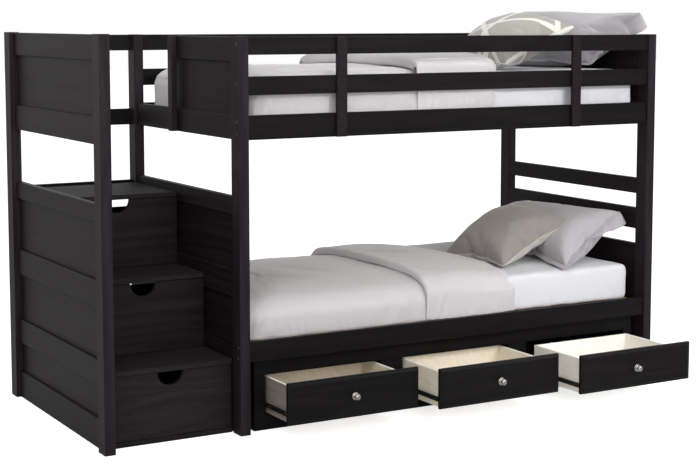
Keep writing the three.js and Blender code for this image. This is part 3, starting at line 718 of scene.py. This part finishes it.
for level, seed in (("upper", 3), ("lower", 8)):
    low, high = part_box(f"{level}_mattress")
    high.x -= SHORTER[level]
    grid, faces = box_skin(low, high, spacing=0.016)
    crisp, facing = rounded_off(grid, low, high, radius=0.030)
    pressed_low = (low.x + PRESSED_FOOT[level], low.y + 0.006, low.z - 0.09)
    pressed_high = (high.x, high.y - 0.006, high.z - 0.022)
    pressed, facing_pressed = rounded_off(grid, pressed_low, pressed_high, radius=0.09)
    quilt_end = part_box(f"{level}_quilt")[1].x
    bare = smooth_step((grid[:, 0] - quilt_end + 0.10) / 0.08)[:, None]  # 0 under the quilt, 1 beyond it
    skin, outward = crisp * bare + pressed * (1 - bare), facing * bare + facing_pressed * (1 - bare)
    # the foam's slow swells and the sheet's small ones, and the gathers
    pushed = 0.0022 * soft_noise(grid, 0.16, seed) + 0.0012 * soft_noise(grid, 0.06, seed + 1) - 0.0030
    pushed -= creased(skin, np.array([high.x, low.y, high.z]), GATHERS)
    skin = skin + outward * pushed[:, None]
    # the sheet's hem is stuffed down between mattress and rail
    low_share = np.clip(1 - (skin[:, 2] - low.z) / 0.045, 0, 1)
    skin[:, 1] += np.sign(outward[:, 1]) * (np.abs(outward[:, 1]) > 0.3) * 0.010 * low_share**2 * bare[:, 0]
    skin[:, 2] = np.maximum(skin[:, 2], low.z)
    flat = np.stack([grid[:, 0] + 0.3 * grid[:, 2], grid[:, 1] + grid[:, 2]], 1)
    mattress = soft_piece(f"{level}_fitted_mattress", skin, faces, flat, SHEET_COTTON)
    smooth_cloth(mattress)
    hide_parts(f"{level}_mattress")

# ---------------------------------------------------------------- quilts
# A filled duvet in a mauve-grey cotton sateen cover. Its sides and foot are tucked down beside the mattress
# and its head end is folded back on itself, so that the fold lies double.
QUILT_COTTON = cotton(
    "mauve_grey_sateen", (0.500, 0.480, 0.492), (0.588, 0.566, 0.578),
    threads=1500, slub=0.2, roughness=0.72, fuzz=0.3, creasing=0.0012,
)
QUILT_FIT = {
    "upper": SimpleNamespace(
        seed=11,
        top=0.018,  # its top at the side edges, over the mattress
        sag=0.005,  # how much lower the top hangs along the sides
        foot_in=0.023,  # how far inside its node the foot ends
        foot_out=0.0,  # how far the foot's roll would reach beyond that
        foot_radius=0.086,
        fold_length=0.383,  # how far the head end is turned back
        fold_top=0.060,  # the doubled part's top at the side edges
        fold_crown=0.020,  # how much higher its middle is
        fold_arch=0.3,  # the smaller, the flatter its middle
        fold_radius=0.036,  # how round its long edges are
        fold_square=0.35,  # the smaller, the squarer its head end
        fold_taper=0.0,  # how much thinner its head end is
    ),
    "lower": SimpleNamespace(
        seed=5,
        top=0.011,
        sag=0.016,
        foot_in=0.001,
        foot_out=0.045,
        foot_radius=0.098,
        fold_length=0.445,
        fold_top=0.042,
        fold_crown=0.014,
        fold_arch=0.7,
        fold_radius=0.098,
        fold_square=0.65,
        fold_taper=0.024,
    ),
}
DROP = 0.165  # how far below the mattress's top the sides are tucked
FOLDS = [
    ((0.26, 0.52, 0.01), (0.245, 0.30, 0.00), 0.013, 0.0085),
    ((0.245, 0.34, 0.00), (0.195, 0.08, -0.01), 0.012, 0.0095),
    ((0.15, 0.32, 0.00), (0.105, 0.03, -0.02), 0.011, 0.0080),
    ((0.02, 0.08, -0.02), (0.13, 0.01, -0.10), 0.011, 0.0070),
    ((0.26, 0.42, 0.01), (0.42, 0.24, 0.00), 0.034, 0.0060),
    ((0.42, 0.60, 0.01), (0.60, 0.30, 0.01), 0.045, 0.0050),
    ((0.04, 0.01, -0.06), (0.02, 0.01, -DROP), 0.014, 0.0080),
    ((0.085, 0.01, -0.07), (0.06, 0.01, -DROP), 0.012, 0.0070),
    ((0.67, 0.02, -0.03), (0.63, 0.01, -0.15), 0.022, 0.0060),
    ((0.765, 0.01, 0.00), (0.76, 0.00, -0.16), 0.016, 0.0070),
]  # creases of the single part, from the mattress's top at the foot's front corner


def rolls(length):
    """Creases of the doubled part, from the mattress's top at the front end of the fold."""
    return [
        ((0.030, 0.01, -0.04), (0.004, 0.0, -0.16), 0.010, 0.0075),
        ((0.060, 0.01, -0.03), (0.030, 0.0, -0.16), 0.011, 0.0075),
        ((0.100, 0.01, -0.05), (0.060, 0.0, -0.16), 0.011, 0.0050),
        ((0.120, 0.10, 0.03), (0.085, 0.0, -0.10), 0.018, 0.0045),
        ((length - 0.05, 0.14, 0.04), (length - 0.13, 0.01, -0.10), 0.015, 0.0080),
        ((length - 0.015, 0.06, 0.02), (length - 0.07, 0.00, -0.15), 0.011, 0.0085),
        ((length - 0.00, 0.01, -0.03), (length - 0.02, 0.00, -0.16), 0.010, 0.0070),
        ((length - 0.10, 0.34, 0.04), (length - 0.01, 0.12, 0.03), 0.020, 0.0065),
        ((length - 0.17, 0.50, 0.05), (length - 0.02, 0.36, 0.03), 0.022, 0.0055),
        ((0.02, 0.62, 0.05), (0.22, 0.42, 0.05), 0.030, 0.0055),
        ((0.01, 0.42, 0.05), (0.12, 0.34, 0.05), 0.014, 0.0030),
        ((0.01, 0.30, 0.05), (0.10, 0.24, 0.04), 0.013, 0.0033),
        ((0.01, 0.16, 0.04), (0.09, 0.08, 0.03), 0.013, 0.0036),
    ]


def pleats(start, end, count, lean, height, seed):
    """Small raised creases where the drop is stuffed down beside the mattress, at uneven steps that the seed
    settles."""
    made = []
    for i in range(count):
        shake = math.sin(seed + 12.9 * i) * 0.5 + math.sin(seed * 2 + 4.7 * i) * 0.5
        x = start + (end - start) * (i + 0.5 + 0.42 * shake) / count
        rise = height * (0.65 + 0.35 * math.sin(seed + 7.1 * i))
        top = (x - lean * rise, 0.0, rise - DROP)
        made.append(((x, 0.0, -DROP), top, 0.0085 + 0.002 * shake, -0.0052 - 0.0016 * shake))
    return made


def single_part(level, fit, low, high, bed_top):
    """The quilt's single part, tucked down round the foot and both sides of the mattress."""
    inner_low = np.array([low.x + fit.foot_in, low.y + 0.010, low.z + 0.002])
    inner_high = np.array([high.x - 0.06, high.y - 0.010, bed_top + fit.top])
    grid, faces = box_skin(inner_low, inner_high, spacing=0.011, open_sides=((0, 1), (2, 0)))
    rolled_low = (inner_low[0] - fit.foot_out, inner_low[1], -FAR)
    skin, outward = rounded_off(grid, rolled_low, (FAR, inner_high[1], inner_high[2]), fit.foot_radius)
    skin[:, 0] = np.maximum(skin[:, 0], inner_low[0])
    folds = FOLDS + pleats(0.01, 0.10, count=5, lean=-0.30, height=0.085, seed=1.0)
    folds += pleats(0.10, 0.62, count=19, lean=0.45, height=0.070, seed=fit.seed)
    folds += pleats(0.64, 0.76, count=4, lean=-0.55, height=0.085, seed=2.0)
    across = np.clip((grid[:, 1] - low.y) / (high.y - low.y), 0, 1)
    from_side = np.minimum(skin[:, 1] - low.y, high.y - skin[:, 1])
    from_foot = skin[:, 0] - low.x
    pushed = 0.0050 * soft_noise(grid, 0.30, fit.seed) + 0.0026 * soft_noise(grid, 0.11, fit.seed + 1) - 0.003
    pushed += 0.012 * np.sin(np.pi * across) * (outward[:, 2] > 0.5)
    pushed -= creased(skin, np.array([low.x, low.y, bed_top]), folds)
    skin = skin + outward * pushed[:, None]
    sunk = fit.sag * (1 - smooth_step(from_side / 0.27)) + 0.010 * (1 - smooth_step(from_foot / 0.20))
    skin[:, 2] -= np.clip(outward[:, 2], 0, 1) * sunk
    flat = np.stack([grid[:, 0] + grid[:, 2] * (outward[:, 0] < -0.5), grid[:, 1] + grid[:, 2]], 1)
    part = soft_piece(f"{level}_quilt_single", skin, faces, flat, QUILT_COTTON)
    wadding = part.modifiers.new("wadding", "SOLIDIFY")
    wadding.thickness = 0.004
    wadding.offset = -1
    smooth_cloth(part)
    return part


def fold_outline(fit, low, high, top):
    """The doubled part's outer side across the bed, as (y, z) points, and which way each one faces."""
    y0, y1, radius = low.y + 0.001, high.y - 0.001, fit.fold_radius
    line = [(y0, low.z + 0.002 + i * (top - radius - low.z) / 14) for i in range(14)]
    for t in np.linspace(0, math.pi / 2, 13):
        line.append((y0 + radius * (1 - math.cos(t)), top - radius * (1 - math.sin(t))))
    rear_side = [(y1 - y + y0, z) for y, z in reversed(line)]
    for share in (i / 70 for i in range(1, 70)):
        crest = fit.fold_crown * math.sin(math.pi * share) ** fit.fold_arch
        line.append((y0 + radius + (y1 - y0 - 2 * radius) * share, top + crest))
    line = np.array(line + rear_side)
    tangent = np.gradient(line, axis=0)
    tangent /= np.linalg.norm(tangent, axis=1, keepdims=True)
    normal = np.stack([-tangent[:, 1], tangent[:, 0]], 1)
    from_side = np.minimum(line[:, 0] - y0, y1 - line[:, 0])
    line[:, 1] -= 0.75 * fit.sag * np.clip(normal[:, 1], 0, 1) * (1 - smooth_step(from_side / 0.24))
    return line, normal


def rolled_edge(thick, angle, square):
    """Where a rolled edge lies from the middle of its thickness: how far out, and how far towards the face
    that it starts from, at an angle from that face."""
    out, up = math.sin(angle), math.cos(angle)
    return thick / 2 * out**square, thick / 2 * math.copysign(abs(up) ** square, up)


def doubled_part(level, fit, low, high, bed_top):
    """The turned-back head end, a closed pad with rolled edges over the single part."""
    top = bed_top + fit.fold_top
    line, normal = fold_outline(fit, low, high, top)
    on_top = np.clip((line[:, 1] - (top - fit.fold_radius)) / fit.fold_radius, 0, 1) ** 0.5
    place = np.c_[line, np.zeros(len(line))]
    wavy = 0.004 * soft_noise(place, 0.25, fit.seed + 2) + 0.0035 * soft_noise(place, 0.055, fit.seed + 6)
    left = high.x - fit.fold_length + wavy
    right = high.x - 0.003 + 0.003 * soft_noise(place, 0.30, fit.seed + 3)
    over_single = fit.fold_top - fit.top - 0.016 + fit.fold_crown
    left_thick = 0.010 + over_single * on_top + 0.0025 * soft_noise(place, 0.07, fit.seed + 7)
    right_thick = 0.007 + (fit.fold_top - 0.006 + fit.fold_crown - fit.fold_taper) * on_top
    thinner = fit.fold_taper * on_top
    start, end = left + left_thick / 2, right - right_thick / 2
    rings = []  # (x, how far inside the outline), up the foot end, over the top, down the head end and back
    for angle in np.linspace(0, math.pi, 13)[:-1]:
        reach, height = rolled_edge(left_thick, angle, square=0.7)
        under = 0.009 * max(0, 1 - angle / 1.2) * on_top
        rings.append((start - reach + under, -left_thick / 2 - height))
    for share in np.linspace(0, 1, 38)[:-1]:
        rings.append((start + (end - start) * share, -thinner * max(0, (share - 0.45) / 0.55) ** 1.5))
    for angle in np.linspace(0, math.pi, 9)[:-1]:
        reach, height = rolled_edge(right_thick, angle, fit.fold_square)
        rings.append((end + reach, height - right_thick / 2 - thinner))
    for share in np.linspace(1, 0, 10)[:-1]:
        thick = left_thick + (right_thick + thinner - left_thick) * share**3
        rings.append((start + (end - start) * share, -thick))
    count, size = len(rings), len(line)
    points = np.concatenate([np.c_[x, line + normal * off[:, None]] for x, off in rings])
    arc = np.concatenate([[0], np.cumsum(np.linalg.norm(np.diff(line, axis=0), axis=1))])
    flat = np.concatenate([np.c_[x, arc] for x, off in rings])
    faces = net(count, size, columns_close=False)
    faces += [tuple(ring * size + i for ring in range(count)) for i in (0, size - 1)]
    normals = np.tile(np.c_[np.zeros(size), normal], (count, 1))
    length = fit.fold_length
    creases = rolls(length)
    creases += pleats(0.03, length - 0.02, count=13, lean=-0.35, height=0.065, seed=fit.seed + 3)
    pushed = 0.0045 * soft_noise(points, 0.28, fit.seed + 4) + 0.0026 * soft_noise(points, 0.10, fit.seed + 5)
    pushed -= creased(points, np.array([high.x - length, low.y, bed_top]), creases) + 0.002
    points = points + normals * pushed[:, None]
    part = soft_piece(f"{level}_quilt_fold", points, faces, flat, QUILT_COTTON)
    face_outward(part)
    smooth_cloth(part)
    return part


for level, fit in QUILT_FIT.items():
    low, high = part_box(f"{level}_quilt")
    bed_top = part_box(f"{level}_mattress")[1].z
    for part in (single_part(level, fit, low, high, bed_top), doubled_part(level, fit, low, high, bed_top)):
        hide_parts(f"{level}_quilt")

# ---------------------------------------------------------------- pillows
# A feather-filled sleeping pillow in a lilac-grey case with a stitched flange, propped against the head of
# each bunk with its lower long edge on the sheet.
STITCH = 0.014  # spacing of a filled cover's points


def sewn_cover(width, length):
    """Two sheets of cloth sewn round the edge, slightly apart: points (x, y, z), faces and the seam. x runs
    across the width and y up the length."""
    nx, ny = round(width / STITCH), round(length / STITCH)
    xs, ys = np.linspace(-width / 2, width / 2, nx + 1), np.linspace(-length / 2, length / 2, ny + 1)
    index, points, faces = {}, [], []
    for side in (1, -1):
        for i, x in enumerate(xs):
            for j, y in enumerate(ys):
                rim = i in (0, nx) or j in (0, ny)
                if rim and side < 0:
                    index[side, i, j] = index[1, i, j]
                    continue
                crown = (1 - (2 * x / width) ** 2) * (1 - (2 * y / length) ** 2)
                index[side, i, j] = len(points)
                points.append((x, y, 0.0 if rim else side * (0.002 + 0.030 * crown)))
        for i in range(nx):
            for j in range(ny):
                quad = [index[side, i + a, j + b] for a, b in ((0, 0), (1, 0), (1, 1), (0, 1))]
                faces.append(tuple(quad if side > 0 else reversed(quad)))
    seam = [index[1, i, 0] for i in range(nx)] + [index[1, nx, j] for j in range(ny)]
    seam += [index[1, i, ny] for i in range(nx, 0, -1)] + [index[1, 0, j] for j in range(ny, 0, -1)]
    return np.array(points), faces, seam


def blown_up(width, length, pressure, frames):
    """A sewn cover filled until it is tight: points, faces, the flat map and the seam."""
    points, faces, seam = sewn_cover(width, length)
    flat = points[:, :2].copy()
    mesh = bpy.data.meshes.new("filling")
    mesh.from_pydata([tuple(p) for p in points], [], faces)
    item = bpy.data.objects.new("filling", mesh)
    scene = bpy.context.scene
    scene.collection.objects.link(item)
    cover = item.modifiers.new("cloth", "CLOTH")
    cloth_settings = {
        "quality": 6,
        "mass": 0.25,
        "air_damping": 2,
        "tension_stiffness": 18,
        "compression_stiffness": 18,
        "shear_stiffness": 6,
        "bending_stiffness": 0.4,
        "use_pressure": True,
        "uniform_pressure_force": pressure,
    }
    for name, value in cloth_settings.items():
        setattr(cover.settings, name, value)
    cover.settings.effector_weights.gravity = 0
    cover.collision_settings.use_collision = False
    cover.point_cache.frame_start, cover.point_cache.frame_end = 1, frames
    for frame_number in range(1, frames + 1):
        scene.frame_set(frame_number)
    settled = item.evaluated_get(bpy.context.evaluated_depsgraph_get())
    points = np.array([v.co for v in settled.data.vertices])
    bpy.data.objects.remove(item)
    bpy.data.meshes.remove(mesh)
    scene.frame_set(1)
    return points, faces, flat, seam


def laid_over(points, corners, hollow, low, high, fullness=(1.0, 1.0)):
    """Carries a filled cover's points onto a sagging four-cornered surface. The corners are lower front,
    lower rear, upper rear and upper front; hollow is how far the middle of the surface sinks below the flat,
    and fullness scales the filling above and below it."""
    u = ((points[:, 0] - low[0]) / (high[0] - low[0]))[:, None]
    v = ((points[:, 1] - low[1]) / (high[1] - low[1]))[:, None]
    lower_front, lower_rear, upper_rear, upper_front = (np.array(c) for c in corners)
    lower = lower_front * (1 - u) + lower_rear * u
    upper = upper_front * (1 - u) + upper_rear * u
    middle = (lower + upper) / 2 + np.array([0, 0, -2 * hollow])
    surface = lower * (1 - v) ** 2 + middle * (2 * v * (1 - v)) + upper * v**2
    along_u = (lower_rear - lower_front) * (1 - v) + (upper_rear - upper_front) * v
    along_v = (middle - lower) * (2 * (1 - v)) + (upper - middle) * (2 * v)
    normal = np.cross(along_v, along_u)
    normal /= np.linalg.norm(normal, axis=1, keepdims=True)
    filling = points[:, 2:3]
    return surface + normal * filling * np.where(filling > 0, fullness[0], fullness[1])


def resting(points, surface_z, head_x=FAR, head_top=FAR):
    """Flattens what would sink into the bed below or into the end of the bunk behind."""
    points[:, 2] = np.maximum(points[:, 2], surface_z)
    under_top = np.clip((head_top + 0.015 - points[:, 2]) / 0.015, 0, 1)
    points[:, 0] -= np.maximum(points[:, 0] - head_x, 0) * under_top
    return points


def flange_round(points, seam, flat, width, waves):
    """The flat border sewn outside a pillowcase's seam, two cloths thick: points, faces, flat map and how far
    out each point lies, from 0 at the seam to 1 at the hem."""
    loop = points[seam]
    corner = np.abs(flat[seam]) > np.abs(flat).max(0) - 1e-6
    outward = np.where(corner, np.sign(flat[seam]), 0)
    arc = np.concatenate([[0], np.cumsum(np.linalg.norm(np.diff(loop, axis=0), axis=1))])
    ripple = waves * (np.sin(arc * 31) + 0.7 * np.sin(arc * 67 + 1.3))
    shares = (-0.05, 0.07, 0.11, 0.40, 0.70, 1.0)
    layers = [(share, 0.0012) for share in shares] + [(share, -0.0012) for share in reversed(shares)]
    rings, maps = [], []
    for share, lift in layers:
        ring = loop + np.c_[outward * width * share, np.zeros(len(seam))]
        ring[:, 2] = lift + max(share, 0) * ripple
        rings.append(ring)
        maps.append(flat[seam] + outward * width * share)
    out = np.repeat([max(share, 0) for share, lift in layers], len(seam))
    return np.concatenate(rings), net(len(layers), len(seam)), np.concatenate(maps), out


def propped(level, corners):
    """Corners given from the stair end's front foot, with their heights above the mattress, in the frame."""
    foot, bed_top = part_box("post_stair_front")[0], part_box(f"{level}_mattress")[1].z
    return [(foot.x + x, foot.y + y, bed_top + z) for x, y, z in corners]


PILLOW_COTTON = cotton(
    "lilac_grey_cotton", (0.395, 0.377, 0.398), (0.470, 0.450, 0.472),
    threads=1400, slub=0.25, roughness=0.78, fuzz=0.3,
)
FLANGE = 0.034
PILLOW_HOLLOW = 0.012
PILLOW = blown_up(width=0.86, length=0.50, pressure=5.5, frames=30)
PILLOW_FIT = {
    "upper": SimpleNamespace(
        corners=((2.370, 0.235, 0.024), (2.240, 0.960, 0.014), (2.484, 0.880, 0.156), (2.488, 0.040, 0.246)),
        fullness=(1.38, 0.75),
        droop=0.085,  # how far the flange hangs at the upper front corner
        head=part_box("right_end_guard"),
        head_top=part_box("right_end_guard")[1].z,
    ),
    "lower": SimpleNamespace(
        corners=((2.124, 0.066, 0.010), (2.205, 0.890, 0.012), (2.486, 0.900, 0.174), (2.470, 0.130, 0.220)),
        fullness=(0.95, 0.75),
        droop=0.066,
        head=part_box("headboard_panel"),
        head_top=FAR,
    ),
}
for level, fit in PILLOW_FIT.items():
    points, faces, flat, seam = PILLOW
    low, high = points.min(0), points.max(0)
    corners = propped(level, fit.corners)
    border, border_faces, border_flat, out = flange_round(points, seam, flat, FLANGE, waves=0.0035)
    filled = laid_over(points, corners, PILLOW_HOLLOW, low, high, fit.fullness)
    hung = laid_over(border, corners, PILLOW_HOLLOW, low, high)
    from_top = ((border[:, 1] - high[1]) / 0.12) ** 2
    from_tip = ((border[:, 0] - low[0]) / 0.10) ** 2 + from_top
    from_rear = ((border[:, 0] - high[0]) / 0.14) ** 2 + from_top
    on_top = np.clip((border[:, 1] - high[1] + 0.01) / 0.02, 0, 1)
    hung[:, 2] -= (fit.droop * np.exp(-from_tip) + 0.040 * np.exp(-from_rear) + 0.014 * on_top) * out**1.4
    bed_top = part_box(f"{level}_mattress")[1].z
    shape = resting(np.concatenate([filled, hung]), bed_top + 0.001, fit.head[0].x - 0.002, fit.head_top)
    faces = faces + [tuple(i + len(points) for i in face) for face in border_faces]
    flat = np.concatenate([flat, border_flat])
    pillow = soft_piece(f"{level}_sleeping_pillow", shape, faces, flat, PILLOW_COTTON)
    smooth_cloth(pillow)
    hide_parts(f"{level}_pillow")

# ---------------------------------------------------------------- cushions
# Square scatter cushions, one on each bunk. The lower one is plain taupe linen with an oatmeal back and
# piping; the upper one is sage linen with a raised off-white trellis.


def trellis(tree, laid, ground, weave):
    """A tufted trellis over a cloth's colour and height: one upright band and two slanting ones."""
    place = split_up(tree, laid)
    wander = add_noise(tree, stretched(tree, laid, (60, 60, 1)), 1, 2)
    wander = add_math(tree, "MULTIPLY", add_math(tree, "SUBTRACT", wander, 0.5), 0.010)
    bands = 0.0
    for across, up, offset, half_pitch, outer, inner in (
        (1.0, 0.0, 0.0, 0.11, 0.0130, 0.0100),
        (0.8, 1.0, 0.03, 0.10, 0.0165, 0.0130),
        (-0.8, 1.0, 0.10, 0.20, 0.0165, 0.0130),
    ):
        line = add_math(tree, "MULTIPLY_ADD", place["Y"], up, add_math(tree, "MULTIPLY", place["X"], across))
        line = add_math(tree, "ADD", line, add_math(tree, "ADD", wander, offset))
        band = ramp(tree, add_math(tree, "PINGPONG", line, half_pitch), outer, inner)
        bands = add_math(tree, "MAXIMUM", bands, band)
    tuft = add_noise(tree, stretched(tree, laid, (420, 420, 1)), 1, 2)
    tufted = mixed(tree, tuft, (0.62, 0.61, 0.55), (0.80, 0.79, 0.74))
    raised = add_math(tree, "MULTIPLY", bands, add_math(tree, "MULTIPLY_ADD", tuft, 0.35, 0.35))
    return mixed(tree, bands, ground, tufted), add_math(tree, "ADD", raised, weave)


def cord_round(name, points, loop, radius, material, sides=8):
    """Piping sewn into a seam: a thin tube through the seam's points."""
    path = points[loop]
    for _ in range(3):
        path = (np.roll(path, 1, 0) + 2 * path + np.roll(path, -1, 0)) / 4
    forward = np.roll(path, -1, 0) - np.roll(path, 1, 0)
    forward /= np.linalg.norm(forward, axis=1, keepdims=True)
    side = np.cross(forward, np.array([0, 0, 1.0]))
    side /= np.linalg.norm(side, axis=1, keepdims=True)
    up = np.cross(side, forward)
    angles = np.linspace(0, 2 * math.pi, sides, endpoint=False)
    rings = [path + radius * (math.cos(t) * side + math.sin(t) * up) for t in angles]
    tube = np.stack(rings, 1).reshape(-1, 3)
    lengths = np.repeat(np.arange(len(path)) * STITCH, sides)
    flat = np.stack([lengths, np.tile(np.arange(sides) * radius, len(path))], 1)
    return soft_piece(name, tube, net(len(path), sides), flat, material)


TAUPE = cotton(
    "taupe_linen", (0.235, 0.208, 0.200), (0.325, 0.292, 0.282),
    threads=560, slub=0.6, roughness=0.9, fuzz=0.35,
)
OATMEAL = cotton(
    "oatmeal_linen", (0.44, 0.41, 0.37), (0.56, 0.53, 0.48),
    threads=560, slub=0.6, roughness=0.9, fuzz=0.35,
)
SAGE = cotton(
    "sage_trellis_linen", (0.292, 0.280, 0.248), (0.385, 0.371, 0.330),
    threads=520, slub=0.6, roughness=0.95, fuzz=0.4, printed=trellis,
)
WOOL = cotton(
    "off_white_wool", (0.55, 0.54, 0.48), (0.68, 0.67, 0.61),
    threads=300, slub=1.0, roughness=0.95, fuzz=0.5,
)
CUSHION = blown_up(width=0.44, length=0.44, pressure=5.0, frames=30)
CUSHION_HOLLOW = 0.004
CUSHION_FIT = {
    "lower": SimpleNamespace(
        corners=((1.880, 0.186, 0.010), (1.838, 0.592, 0.012), (2.222, 0.618, 0.194), (2.270, 0.216, 0.178)),
        fullness=(1.25, 0.62),
        cloths=(TAUPE, OATMEAL),
        piping=OATMEAL,
        piping_radius=0.0035,
        slot="taupe_linen",
    ),
    "upper": SimpleNamespace(
        corners=((1.872, 0.172, 0.024), (1.842, 0.590, 0.030), (2.185, 0.570, 0.196), (2.222, 0.143, 0.184)),
        fullness=(1.24, 0.70),
        cloths=(SAGE, SAGE),
        piping=WOOL,
        piping_radius=0.0024,
        slot="sage_linen",
    ),
}
for level, fit in CUSHION_FIT.items():
    points, faces, flat, seam = CUSHION
    corners = propped(level, fit.corners)
    shape = laid_over(points, corners, CUSHION_HOLLOW, points.min(0), points.max(0), fit.fullness)
    shape = resting(shape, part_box(f"{level}_mattress")[1].z + 0.001)
    cushion = soft_piece(f"{level}_scatter_cushion", shape, faces, flat, fit.cloths[0])
    smooth_cloth(cushion)
    cushion.data.materials.append(fit.cloths[1])
    half = len(faces) // 2
    cushion.data.polygons.foreach_set("material_index", [0] * half + [1] * (len(faces) - half))
    welt = cord_round(f"{level}_cushion_piping", shape, seam, fit.piping_radius, fit.piping)
    for piece in (cushion, welt):
        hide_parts(f"{level}_cushion")

# ---------------------------------------------------------------- room
# A plain pale floor in a white room, lit by large soft lamps overhead and in front, a smaller key lamp at
# the stair end and two weak fills in front of the bunks.
ROOM = 40
floor_mesh = bpy.data.meshes.new("floor")
floor_corners = [(-ROOM, -ROOM, 0), (ROOM, -ROOM, 0), (ROOM, ROOM, 0), (-ROOM, ROOM, 0)]
floor_mesh.from_pydata(floor_corners, [], [(0, 1, 2, 3)])
floor = bpy.data.objects.new("floor", floor_mesh)
bpy.context.scene.collection.objects.link(floor)
floor_paint, tree, shader = new_material("floor_paint")
seen = add_node(tree, "LightPath").outputs
set_inputs(tree, shader, {
    "Base Color": (0.86, 0.86, 0.87, 1),
    "Roughness": 0.85,
    "Specular IOR Level": 0.1,
    "Emission Color": (1, 1, 1, 1),
    "Emission Strength": add_math(tree, "MULTIPLY", seen["Is Camera Ray"], 0.7),
})
floor.data.materials.append(floor_paint)

world = bpy.data.worlds.new("white_room")
bpy.context.scene.world = world
world.use_nodes = True
tree = world.node_tree
seen = add_node(tree, "LightPath").outputs
direct = add_math(tree, "MAXIMUM", seen["Is Camera Ray"], seen["Is Glossy Ray"])
direct = add_math(tree, "MAXIMUM", direct, seen["Is Transmission Ray"])
strength = add_math(tree, "MULTIPLY_ADD", direct, 0.45, 0.55)
set_inputs(tree, tree.nodes["Background"], {"Color": (1, 1, 1, 1), "Strength": strength})


def soft_lamp(name, place, target, width, height, power, spread=180):
    """A rectangular soft lamp aimed at a point."""
    lamp = bpy.data.lights.new(name, "AREA")
    lamp.shape = "RECTANGLE"
    lamp.size = width
    lamp.size_y = height
    lamp.energy = power
    lamp.spread = math.radians(spread)
    item = bpy.data.objects.new(name, lamp)
    item.location = place
    item.rotation_euler = (Vector(target) - Vector(place)).to_track_quat("-Z", "Y").to_euler()
    bpy.context.scene.collection.objects.link(item)


soft_lamp("overhead_lamp", (0, -1.4, 4.8), (0, 0, 0.6), width=4.5, height=3.5, power=60)
soft_lamp("front_lamp", (-1.5, -7.5, 2.6), (0, 0, 0.8), width=5.0, height=3.0, power=182)
soft_lamp("drawer_fill", (1.5, -2.3, 1.7), (0.75, -0.52, 0.16), width=0.9, height=0.6, power=3.3, spread=55)
soft_lamp("key_lamp", (-2.9, -2.1, 2.9), (-1.15, -0.1, 1.4), width=1.6, height=1.4, power=6.5, spread=50)
soft_lamp("upper_bunk_fill", (0.6, -3.2, 2.3), (0.5, 0.0, 1.38), width=2.2, height=0.5, power=2.8, spread=24)

bpy.context.scene.view_settings.view_transform = "Standard"
